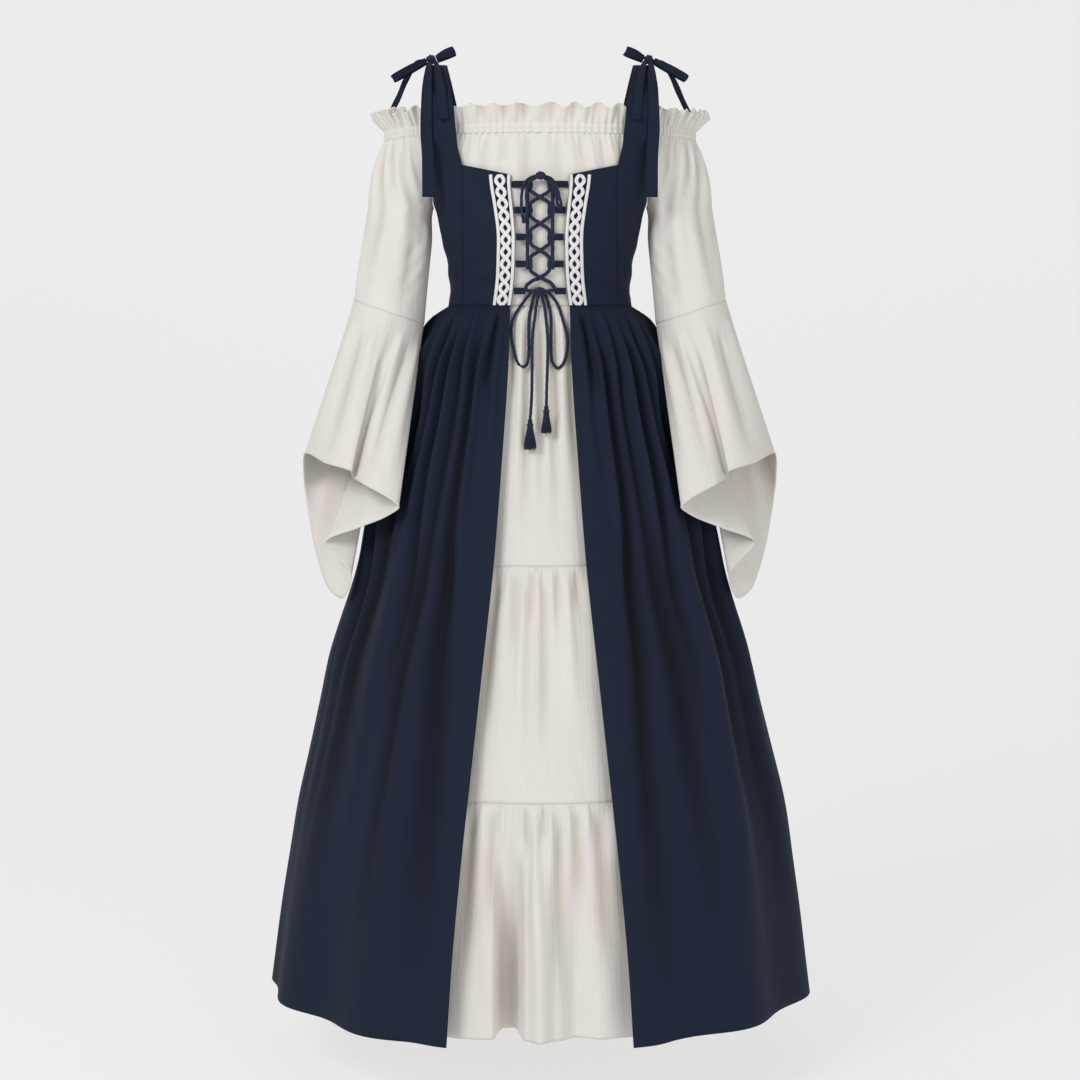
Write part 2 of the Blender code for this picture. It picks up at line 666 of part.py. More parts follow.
def lace_trim(name, side):
    """Cut-through lace, drawn flat and then laid on the bodice's front edge."""
    flat = bpy.data.curves.new(name + "_flat", "CURVE")
    flat.dimensions = "2D"
    flat.fill_mode = "BOTH"
    flat.extrude = 0.5
    for outline in lace_outlines():
        spline = flat.splines.new("POLY")
        spline.points.add(len(outline) - 1)
        for point, (across, along) in zip(spline.points, outline):
            point.co = (across, along, 0, 1)
        spline.use_cyclic_u = True
    drawn = bpy.data.objects.new(name + "_flat", flat)
    DRESS.objects.link(drawn)
    bpy.context.view_layer.update()
    drawn_now = drawn.evaluated_get(bpy.context.evaluated_depsgraph_get())
    mesh = bpy.data.meshes.new_from_object(drawn_now)
    bpy.data.objects.remove(drawn, do_unlink=True)
    bpy.data.curves.remove(flat)
    cloth = bmesh.new()
    cloth.from_mesh(mesh)
    bmesh.ops.remove_doubles(cloth, verts=cloth.verts, dist=0.00005)
    for vertex in cloth.verts:
        across, along, layer = vertex.co
        x = blend(FRONT_EDGE[0].opening, FRONT_EDGE[0].trim, across)
        z = blend(WAIST + 0.0012, neckline(x), along)
        x = blend(column(FRONT_EDGE, "opening", z) + 0.0004, column(FRONT_EDGE, "trim", z), across)
        lift = NAVY_THICK / 2 + LACE_LIFT + LACE_THICK * (layer + 0.5)
        vertex.co = bodice_surface(x, z, lift)
        vertex.co.x *= side
    if side < 0:
        bmesh.ops.reverse_faces(cloth, faces=cloth.faces)
    cloth.to_mesh(mesh)
    cloth.free()
    mesh.name = name
    mesh.materials.clear()
    return add_node(name, mesh, "lace")


def smooth_path(points, steps):
    """Points of a smooth curve through the given ones."""
    path = []
    ends = [points[0] * 2 - points[1]] + list(points) + [points[-1] * 2 - points[-2]]
    for i in range(1, len(ends) - 2):
        p0, p1, p2, p3 = ends[i - 1:i + 3]
        for k in range(steps):
            t = k / steps
            path.append(0.5 * ((2 * p1) + (p2 - p0) * t + (2 * p0 - 5 * p1 + 4 * p2 - p3) * t**2
                               + (3 * p1 - p0 - 3 * p2 + p3) * t**3))
    path.append(points[-1].copy())
    return path


def cord(name, points, steps=2, radius=CORD_RADIUS, resolution=1):
    curve = bpy.data.curves.new(name, "CURVE")
    curve.dimensions = "3D"
    curve.bevel_depth = radius
    curve.bevel_resolution = resolution
    curve.use_fill_caps = True
    path = smooth_path([Vector(point) for point in points], steps)
    spline = curve.splines.new("POLY")
    spline.points.add(len(path) - 1)
    for point, place in zip(spline.points, path):
        point.co = (*place, 1)
    return add_node(name, curve, "navy")


def knot(name, place, size):
    ball = bmesh.new()
    bmesh.ops.create_uvsphere(ball, u_segments=8, v_segments=4, radius=0.5)
    bmesh.ops.scale(ball, verts=ball.verts, vec=size)
    bmesh.ops.translate(ball, verts=ball.verts, vec=place)
    mesh = bpy.data.meshes.new(name)
    ball.to_mesh(mesh)
    ball.free()
    mesh.shade_smooth()
    return add_node(name, mesh, "navy")


def ribbon(name, points, widths, thick=0.0016, steps=2, across=None):
    """A flat strip along a path; across is the direction of its width."""
    path = smooth_path([Vector(point) for point in points], steps)
    spread_widths = smooth_path([Vector((width, 0, 0)) for width in widths], steps)
    direction = Vector(across or (1, 0, 0)).normalized()
    last = len(path) - 1
    levels = []
    for i in range(last + 1):
        along = (path[min(i + 1, last)] - path[max(i - 1, 0)]).normalized()
        levels.append((direction - along * direction.dot(along)).normalized())

    def shape(u, v):
        at = min(max(v * last, 0.0), last - 1e-6)
        low = int(at)
        middle = path[low].lerp(path[low + 1], at - low)
        width = spread_widths[low].lerp(spread_widths[low + 1], at - low).x
        level = levels[low].lerp(levels[low + 1], at - low)
        return middle + level * width * (u - 0.5)

    cloth_wall(name, shape, [0.0, 1.0], spaced(last), thick, "navy", level=(False, False))


def cream_front(x, z):
    """Outer surface of the chemise and underskirt at the open front."""
    if z > CHEMISE[-1].z:
        table, inset = CHEMISE, 0.0
    elif z > WAIST:
        table, inset = BODICE, BODY_EASE
    else:
        table, inset = OVERSKIRT, column(UNDER_EASE, "ease", z)
    place = form(table, form_angle(table, x, z, inset), z, inset)
    return place.y - CREAM_THICK / 2


def on_cream(points, gap):
    """Hand-placed (x, z) points, laid on the cream cloth with a gap to the cord's middle."""
    return [(x, cream_front(x, z) - gap, z) for x, z in points]


def lacing_depth(z):
    return cream_front(0.0, z) - 0.0074


def lacing():
    for side, label in ((-1, "left"), (1, "right")):
        for number, z in enumerate(TAB_HEIGHTS, 1):
            root = bodice_surface(column(FRONT_EDGE, "opening", z), z)
            end = Vector((TAB_END_X, lacing_depth(z) - 0.0005, z))
            start = Vector((root.x - 0.0016, root.y - 0.0004, z))
            path = [start, start.lerp(end, 0.5), end]
            ribbon("tab_%s_%d" % (label, number), [(side * p.x, p.y, p.z) for p in path],
                   [TAB_TALL] * 3, TAB_THICK, steps=1, across=(0, 0, 1))
        top, base = TAB_HEIGHTS[0] + 0.006, TAB_HEIGHTS[-1] + 0.031
        heights = [top, -0.2, -0.225, -0.25, -0.275, base]
        cord("lacing_column_" + label, [(side * COLUMN_X, lacing_depth(z), z) for z in heights], steps=1)
    for start_side, label in ((-1, "a"), (1, "b")):
        points = []
        for number, z in enumerate(TAB_HEIGHTS[:-1]):
            side = start_side * (-1) ** number
            over = 0.0027 if (number % 2 == 0) == (label == "a") else -0.0027
            middle_z = (z + TAB_HEIGHTS[number + 1]) / 2
            for height in (z + 0.004, z - 0.008):
                points.append((side * CROSS_X, lacing_depth(height), height))
            points.append((0.0, lacing_depth(middle_z) - over, middle_z))
        last = TAB_HEIGHTS[-1]
        side = start_side
        points.append((side * 0.0125, lacing_depth(last + 0.014), last + 0.0135))
        points.append((side * 0.0190, lacing_depth(last + 0.006), last + 0.0075))
        cord("lacing_cross_" + label, points, steps=1)


# Loops and tails of the lower bow, as x and z on the cream front
LOOP_LEFT = [(-0.0092, -0.3295), (-0.0155, -0.3360), (-0.0265, -0.350), (-0.0375, -0.368),
             (-0.0412, -0.388), (-0.0385, -0.412), (-0.0325, -0.432), (-0.0245, -0.4394),
             (-0.0178, -0.433), (-0.0175, -0.415), (-0.0205, -0.392), (-0.0225, -0.370),
             (-0.0175, -0.352), (-0.0082, -0.3358)]
LOOP_RIGHT = [(0.0092, -0.3295), (0.0155, -0.3360), (0.0255, -0.350), (0.033, -0.372),
              (0.0395, -0.400), (0.0370, -0.425), (0.0305, -0.438), (0.0235, -0.4400),
              (0.0185, -0.430), (0.0195, -0.405), (0.0215, -0.380), (0.0205, -0.365),
              (0.0165, -0.351), (0.0082, -0.3358)]
TAIL_LEFT = [(-0.0027, -0.3376), (-0.0060, -0.357), (-0.0110, -0.400), (-0.0112, -0.440),
             (-0.0118, -0.480), (-0.0140, -0.5130)]
TAIL_RIGHT = [(0.0027, -0.3376), (0.0070, -0.357), (0.0110, -0.400), (0.0105, -0.440),
              (0.0095, -0.470), (0.0090, -0.4940)]


def bows():
    z = TAB_HEIGHTS[0]
    knot("bow_top_knot", (0.0008, lacing_depth(z + 0.0115) - 0.0109, z + 0.0115), (0.015, 0.007, 0.010))
    arch = [(-0.0235, -0.056), (-0.0255, -0.040), (-0.0265, -0.022), (-0.0240, -0.004), (-0.0150, 0.008),
            (0.0, 0.0115), (0.0150, 0.008), (0.0235, -0.004), (0.0275, -0.018), (0.0315, -0.034)]
    cord("bow_top", [(x, lacing_depth(z + rise) - 0.0049, z + rise) for x, rise in arch], steps=1)
    base = TAB_HEIGHTS[-1] - 0.001
    knot("bow_knot", (0.0, cream_front(0.0, base) - 0.0062, base), (0.017, 0.010, 0.011))
    gap = CORD_RADIUS + 0.0016
    cord("bow_loop_left", on_cream(LOOP_LEFT, gap), steps=1)
    cord("bow_loop_right", on_cream(LOOP_RIGHT, gap), steps=1)


def tassel(name, place, tall, wide):
    """Strands that hang from one small head."""
    strands = bmesh.new()
    bmesh.ops.create_grid(strands, x_segments=4, y_segments=3, size=0.5)
    bmesh.ops.scale(strands, verts=strands.verts, vec=(TASSEL_WIDE, TASSEL_DEEP, 1))
    roots = list(strands.faces)
    grown = bmesh.ops.extrude_face_region(strands, geom=roots)
    crown = [item for item in grown["geom"] if isinstance(item, bmesh.types.BMVert)]
    for vertex in crown:
        vertex.co.z += TASSEL_HEAD
        vertex.co.x *= 0.6
        vertex.co.y *= 0.6
    below = [face for face in strands.faces if abs(face.calc_center_median().z) < 1e-6]
    bmesh.ops.recalc_face_normals(strands, faces=strands.faces)
    bmesh.ops.inset_individual(strands, faces=below, thickness=STRAND_GAP, use_even_offset=True)
    for face in bmesh.ops.extrude_discrete_faces(strands, faces=below)["faces"]:
        middle = face.calc_center_median()
        fall = -tall * (1 - STRAND_UNEVEN * math.sin(9000 * middle.x))
        slant = Vector((middle.x * (wide / TASSEL_WIDE - 1), middle.y * TASSEL_FLARE, fall))
        bmesh.ops.translate(strands, verts=face.verts, vec=slant)
    bmesh.ops.recalc_face_normals(strands, faces=strands.faces)
    bmesh.ops.translate(strands, verts=strands.verts, vec=place)
    mesh = bpy.data.meshes.new(name)
    strands.to_mesh(mesh)
    strands.free()
    return add_node(name, mesh, "navy")


def tails():
    gap = CORD_RADIUS + 0.0030
    for label, points, tall, wide in (("left", TAIL_LEFT, 0.033, 0.019), ("right", TAIL_RIGHT, 0.029, 0.016)):
        laid = on_cream(points, gap)
        x, y, z = laid[-1]
        hung = cream_front(x, z - tall - TASSEL_HEAD) - 0.0062
        last = len(laid) - 1
        laid = [(px, py + (hung - y) * (i / last) ** 1.5, pz) for i, (px, py, pz) in enumerate(laid)]
        cord("lace_tail_" + label, laid, steps=2)
        tassel("tassel_" + label, Vector((x, hung, z - TASSEL_HEAD - 0.0013)), tall, wide)


def shoulder_ties():
    """Bow on each shoulder: a knot, two loops and three tails of a turned strip."""
    for side, label in ((-1, "left"), (1, "right")):
        knot("tie_%s_knot" % label, (side * 0.1600, -0.006, 0.0096), (0.016, 0.014, 0.013))

        def tie(piece, points, widths, across):
            ribbon("tie_%s_%s" % (label, piece), [(side * x, y, z) for x, y, z in points], widths,
                   steps=2, across=(side * across[0], across[1], across[2]))

        tie("loop_in", [(0.1518, -0.006, 0.0125), (0.138, -0.010, 0.0225), (0.1265, -0.012, 0.0240),
                        (0.1250, -0.012, 0.0190), (0.138, -0.010, 0.0130), (0.1518, -0.006, 0.0080)],
            [0.006, 0.012, 0.014, 0.014, 0.012, 0.006], (0, 1, 0))
        tie("loop_out", [(0.1674, -0.008, 0.0123), (0.190, -0.018, 0.0060), (0.2120, -0.030, -0.0095),
                         (0.2150, -0.032, -0.0180), (0.2080, -0.029, -0.0195), (0.188, -0.018, -0.0075),
                         (0.1674, -0.008, 0.0070)],
            [0.006, 0.012, 0.013, 0.013, 0.013, 0.012, 0.006], (0, 1, 0))
        tie("tail_side", [(0.1667, 0.0003, 0.0095), (0.183, 0.004, 0.0050), (0.197, 0.003, -0.018),
                          (0.208, -0.001, -0.044), (0.2190, -0.005, -0.0670)],
            [0.005, 0.010, 0.013, 0.014, 0.014], (0, 1, 0))
        hang = [tuple(bodice_surface(x, z, TIE_LIFT)) for x, z in
                ((0.1620, -0.0090), (0.1620, -0.0220), (0.1622, -0.0450), (0.1620, -0.0800), (0.1615, -0.1050))]
        below = hang[-1][1]
        tie("tail_long", [(0.1610, -0.0134, 0.0070)] + hang
            + [(0.1612, below - 0.002, -0.140), (0.1610, below - 0.003, -0.1960)],
            [0.006, 0.008, 0.011, 0.014, 0.016, 0.017, 0.017, 0.017], (1, 0, 0))
        lie = [tuple(bodice_surface(x, z, TIE_LIFT)) for x, z in
               ((0.1500, -0.0090), (0.1470, -0.0220), (0.1420, -0.0450), (0.1360, -0.0860))]
        tie("tail_short", [(0.1542, -0.0140, 0.0070)] + lie, [0.005, 0.008, 0.010, 0.0125, 0.014], (1, 0, 0))


def build():
    neck_ruffle()
    chemise_body("chemise_front", -1)
    chemise_body("chemise_back", 1)
    for side, label in ((-1, "left"), (1, "right")):
        sleeve("sleeve_" + label, side)
        flounce("sleeve_flounce_" + label, side)
        bodice_front("bodice_front_" + label, side)
        bodice_side("bodice_side_" + label, side)
        back_strap("back_strap_" + label, side)
        lace_trim("lace_trim_" + label, side)
    bodice_back()
    gap = SEAM_GAP
    for face, label in ((-1, "front"), (1, "back")):
        top_columns, middle_columns, base_columns = (20, 40, 48) if face < 0 else (14, 26, 28)
        tier("underskirt_top_" + label, face, WAIST - gap, TIER_SEAM_1 + gap / 2, top_columns,
             [0.0, 0.08, 0.22, 0.55, 1.0], 0.0, 0.004)
        tier("underskirt_middle_" + label, face, TIER_SEAM_1 - gap / 2, TIER_SEAM_2 + gap / 2, middle_columns,
             [0.0, 0.08, 0.5, 1.0], 0.0035, 0.004)
        tier("underskirt_base_" + label, face, TIER_SEAM_2 - gap / 2, CREAM_HEM, base_columns,
             [0.0, 0.08, 0.5, 1.0], 0.0035, 0.006, deep=face < 0)
    quarter = math.pi / 2
    side_seam = SEAM_GAP / 2 / OVERSKIRT[0].wide
    overskirt("overskirt_front_right", opening_angle, lambda z: quarter - side_seam, 22)
    overskirt("overskirt_front_left", lambda z: -opening_angle(z), lambda z: side_seam - quarter, 22)
    overskirt("overskirt_back", lambda z: quarter + side_seam, lambda z: 3 * quarter - side_seam, 36)
    lacing()
    bows()
    tails()
    shoulder_ties()


clear_scene()
DRESS = bpy.data.collections.new("laced_gown")
bpy.context.scene.collection.children.link(DRESS)
build()
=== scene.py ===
# %% [markdown]
# # A laced over-gown on an off-shoulder chemise dress
# The real dress is two garments: a cream chemise dress of thin crinkled cotton, gathered on an
# elastic neck, and a navy over-gown whose bodice is laced over it. This notebook dresses the
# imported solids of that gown: each solid is one cut of cloth, and each gets a thin shell with
# its gathers, folds, hems and weave.

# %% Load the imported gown
import math
from collections import namedtuple

import bmesh
import bpy
import numpy as np
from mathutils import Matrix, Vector


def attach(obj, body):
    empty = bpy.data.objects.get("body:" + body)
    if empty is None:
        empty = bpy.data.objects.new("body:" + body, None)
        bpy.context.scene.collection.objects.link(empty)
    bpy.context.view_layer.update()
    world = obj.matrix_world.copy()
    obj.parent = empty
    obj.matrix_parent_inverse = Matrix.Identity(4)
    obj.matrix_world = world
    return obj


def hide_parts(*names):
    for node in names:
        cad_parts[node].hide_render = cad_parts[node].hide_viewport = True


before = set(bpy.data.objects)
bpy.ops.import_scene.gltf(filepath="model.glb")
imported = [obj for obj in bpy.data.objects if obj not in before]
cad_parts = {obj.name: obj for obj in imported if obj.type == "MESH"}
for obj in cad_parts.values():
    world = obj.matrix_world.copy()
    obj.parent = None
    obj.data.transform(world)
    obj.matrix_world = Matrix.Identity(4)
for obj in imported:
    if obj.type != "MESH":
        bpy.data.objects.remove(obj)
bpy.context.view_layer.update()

# %% [markdown]
# ## The camera
# The photograph is taken from the height of the waist, a little downwards, with a long lens. The
# camera comes first, because the free cord ends are judged against what it sees.

# %% Camera
camera_data = bpy.data.cameras.new("studio_camera")
camera_data.lens = 77.78
camera_data.sensor_width = 36.0
camera = bpy.data.objects.new("studio_camera", camera_data)
camera.location = (0.0, -3.4867, -0.395)
camera.rotation_euler = (math.radians(85.0), 0.0, 0.0)
bpy.context.scene.collection.objects.link(camera)
bpy.context.scene.camera = camera
print("camera at", tuple(camera.location), "lens", camera_data.lens)

# %% [markdown]
# ## Sizes of the two garments
# The cloth follows the wearer's body and then falls free, so the form is a stack of squared ovals,
# one per height: how wide it is, and how deep at the front and back. They are the pattern
# maker's measures, in metres, and the solids were built from the same ones.

# %% Measures
CREAM_THICK = 0.0011
NAVY_THICK = 0.0013
NAVY_MIDDLE = 0.0008
SEAM_GAP = 0.0003
STRAP_ROOT = -0.150
UNDERARM = -0.2165
WAIST = -0.352
TIER_SEAM_1 = -0.717
TIER_SEAM_2 = -1.038
CREAM_HEM = -1.358
NAVY_HEM = -1.362
NECK_WIDE, NECK_FRONT, NECK_BACK, NECK_SQUARE = 0.228, 0.092, 0.080, 2.5
RUFFLE_TOP = -0.0630
CASING_TOP = -0.0885
CASING_BASE = -0.1040
NECK_DROP = 0.006
BODY_EASE = 0.0075
ARMPIT = -0.206
PRINCESS_X = 0.112
NECKLINE_DIP = 0.0150
SHOULDER_TOP = 0.002

Row = namedtuple("Row", "z wide front back square")
BODICE = [
    Row(0.002, 0.60, 0.0010, 0.0010, 2.5), Row(-0.003, 0.60, 0.024, 0.022, 2.5),
    Row(-0.012, 0.52, 0.048, 0.044, 2.5), Row(-0.030, 0.42, 0.076, 0.070, 2.5),
    Row(-0.050, 0.34, 0.098, 0.090, 2.5), Row(-0.075, 0.28, 0.110, 0.101, 2.5),
    Row(-0.100, 0.240, 0.113, 0.102, 2.5), Row(-0.125, 0.207, 0.111, 0.099, 2.5),
    Row(-0.150, 0.188, 0.111, 0.095, 2.5), Row(-0.170, 0.176, 0.114, 0.094, 2.5),
    Row(-0.190, 0.168, 0.118, 0.093, 2.5), Row(-0.205, 0.1625, 0.121, 0.092, 2.5),
    Row(-0.2165, 0.153, 0.1235, 0.091, 2.5), Row(-0.224, 0.151, 0.1245, 0.090, 2.5),
    Row(-0.2415, 0.148, 0.1250, 0.089, 2.5), Row(-0.259, 0.144, 0.1240, 0.088, 2.5),
    Row(-0.277, 0.1395, 0.1210, 0.086, 2.5), Row(-0.2946, 0.1366, 0.1170, 0.084, 2.5),
    Row(-0.312, 0.1344, 0.1130, 0.083, 2.5), Row(-0.330, 0.1338, 0.1090, 0.082, 2.5),
    Row(-0.342, 0.1348, 0.1065, 0.082, 2.5), Row(-0.352, 0.1365, 0.1050, 0.082, 2.5),
]
SeamRow = namedtuple("SeamRow", "z wide front back square seam_angle")
CHEMISE = [
    SeamRow(-0.1043, 0.228, 0.092, 0.080, 2.5, 40.0), SeamRow(-0.125, 0.207, 0.098, 0.082, 2.5, 48.0),
    SeamRow(-0.150, 0.184, 0.1045, 0.083, 2.5, 60.0), SeamRow(-0.170, 0.169, 0.108, 0.084, 2.5, 71.0),
    SeamRow(-0.190, 0.1605, 0.1135, 0.085, 2.5, 80.0), SeamRow(-0.206, 0.1550, 0.1165, 0.085, 2.5, 90.0),
    SeamRow(-0.2165, 0.1455, 0.1160, 0.0835, 2.5, 90.0),
]
OVERSKIRT = [
    Row(-0.352, 0.1365, 0.105, 0.082, 2.5), Row(-0.3655, 0.152, 0.117, 0.096, 2.4),
    Row(-0.3744, 0.1600, 0.124, 0.104, 2.3), Row(-0.408, 0.178, 0.143, 0.124, 2.2),
    Row(-0.443, 0.194, 0.162, 0.146, 2.1), Row(-0.520, 0.2165, 0.192, 0.176, 2.0),
    Row(-0.595, 0.2394, 0.215, 0.202, 2.0), Row(-0.670, 0.2600, 0.238, 0.227, 2.0),
    Row(-0.745, 0.2763, 0.263, 0.250, 2.0), Row(-0.858, 0.3125, 0.300, 0.284, 2.0),
    Row(-0.935, 0.3289, 0.317, 0.303, 2.0), Row(-1.011, 0.3454, 0.335, 0.321, 2.0),
    Row(-1.088, 0.3627, 0.353, 0.338, 2.0), Row(-1.165, 0.3756, 0.369, 0.352, 2.0),
    Row(-1.242, 0.3884, 0.383, 0.364, 2.0), Row(-1.362, 0.4050, 0.400, 0.380, 2.0),
]
EaseRow = namedtuple("EaseRow", "z ease")
UNDER_EASE = [EaseRow(-0.352, 0.0075), EaseRow(-0.375, 0.0125), EaseRow(-0.450, 0.017),
              EaseRow(-0.717, 0.022), EaseRow(-1.362, 0.030)]
EdgeRow = namedtuple("EdgeRow", "z opening trim")
FRONT_EDGE = [
    EdgeRow(-0.160, 0.0416, 0.0731), EdgeRow(-0.178, 0.0420, 0.0716), EdgeRow(-0.213, 0.0386, 0.0658),
    EdgeRow(-0.247, 0.0357, 0.0615), EdgeRow(-0.281, 0.0358, 0.0616), EdgeRow(-0.315, 0.0374, 0.0632),
    EdgeRow(-0.352, 0.0418, 0.0678),
]
StrapRow = namedtuple("StrapRow", "z inner outer")
STRAP = [
    StrapRow(0.002, 0.1370, 0.1655), StrapRow(-0.022, 0.1316, 0.1655), StrapRow(-0.054, 0.1250, 0.1655),
    StrapRow(-0.077, 0.1225, 0.1650), StrapRow(-0.100, 0.1205, 0.1625), StrapRow(-0.125, 0.1180, 0.1605),
    StrapRow(-0.150, 0.1120, 0.1600), StrapRow(-0.170, 0.1120, 0.1585), StrapRow(-0.190, 0.1120, 0.1575),
    StrapRow(-0.205, 0.1120, 0.1560), StrapRow(-0.2165, 0.1120, 0.1530),
]
OpenRow = namedtuple("OpenRow", "z half")
OPENING = [
    OpenRow(-0.352, 0.0430), OpenRow(-0.443, 0.0455), OpenRow(-0.583, 0.0548), OpenRow(-0.720, 0.0655),
    OpenRow(-0.854, 0.0799), OpenRow(-0.987, 0.0945), OpenRow(-1.120, 0.1090), OpenRow(-1.252, 0.1210),
    OpenRow(-1.362, 0.1280),
]


def column(table, name, z):
    """A column of a table at heights z, by a smooth curve through its rows."""
    rows = sorted(table, key=lambda row: row.z)
    heights = np.array([row.z for row in rows])
    values = np.array([getattr(row, name) for row in rows])
    before = np.maximum(np.arange(len(rows)) - 1, 0)
    after = np.minimum(np.arange(len(rows)) + 1, len(rows) - 1)
    slopes = (values[after] - values[before]) / (heights[after] - heights[before])
    z = np.clip(z, heights[0], heights[-1])
    low = np.clip(np.searchsorted(heights, z, side="right") - 1, 0, len(rows) - 2)
    span = heights[low + 1] - heights[low]
    t = (z - heights[low]) / span
    return ((2 * t**3 - 3 * t**2 + 1) * values[low] + (t**3 - 2 * t**2 + t) * span * slopes[low]
            + (3 * t**2 - 2 * t**3) * values[low + 1] + (t**3 - t**2) * span * slopes[low + 1])


def power(value, exponent):
    return np.copysign(np.abs(value) ** exponent, value)


def oval(angle, wide, front, back, square):
    deep = np.where(np.cos(angle) > 0, front, back)
    return wide * power(np.sin(angle), 2 / square), -deep * power(np.cos(angle), 2 / square)


def form(table, angle, z, inset=0.0):
    """Points of a garment's form, angles counted from the front towards +X."""
    x, y = oval(angle, column(table, "wide", z) - inset, column(table, "front", z) - inset,
                column(table, "back", z) - inset, column(table, "square", z))
    return np.stack(np.broadcast_arrays(x, y, z), -1)


def form_angle(table, x, z, inset=0.0):
    share = x / (column(table, "wide", z) - inset)
    return np.arcsin(np.clip(power(share, column(table, "square", z) / 2), -1.0, 1.0))


def mix(a, b, t):
    return a + (b - a) * t


def ease(t):
    t = np.clip(t, 0.0, 1.0)
    return t * t * (3 - 2 * t)


print("waist", 2000 * float(column(BODICE, "wide", WAIST)), "mm wide")

# %% [markdown]
# ## Colour and node helpers
# Cloth colours are read from a swatch as sRGB hex values, and shaders want linear ones. One small
# function adds a shader node with its settings and links.

# %% Helpers for materials
def hex_colour(code):
    shares = [int(code[i:i + 2], 16) / 255 for i in (1, 3, 5)]
    return (*[s / 12.92 if s <= 0.04045 else ((s + 0.055) / 1.055) ** 2.4 for s in shares], 1.0)


def add_node(tree, kind, inputs=None, **settings):
    node = tree.nodes.new(kind)
    for name, value in settings.items():
        setattr(node, name, value)
    for name, value in (inputs or {}).items():
        if isinstance(value, bpy.types.NodeSocket):
            tree.links.new(value, node.inputs[name])
        else:
            node.inputs[name].default_value = value
    return node


print("cream in linear light:", [round(c, 3) for c in hex_colour("#ece5d8")[:3]])

# %% [markdown]
# ## Woven cotton
# Both garments are plain weave: one thread over, one under. Up close that gives a fine grid, and
# from a few steps away only the slubs show, which are uneven places in the yarn that make faint
# streaks along and across. The cream cloth is crinkled cotton gauze and matte; its creases get a
# warmer, darker painted shade. The navy is denser and has a dry, dusty sheen, and its creases get a
# darker painted shade. The threads lie 0.6 mm apart on the real cloth and are drawn 1.2 mm apart,
# since finer ones would not show in the picture. The UV map of each shell is in metres of cloth, so
# the weave follows every fold.

# %% Woven cloth
BAND = 0.31416  # a wave texture at scale 1 repeats after this length


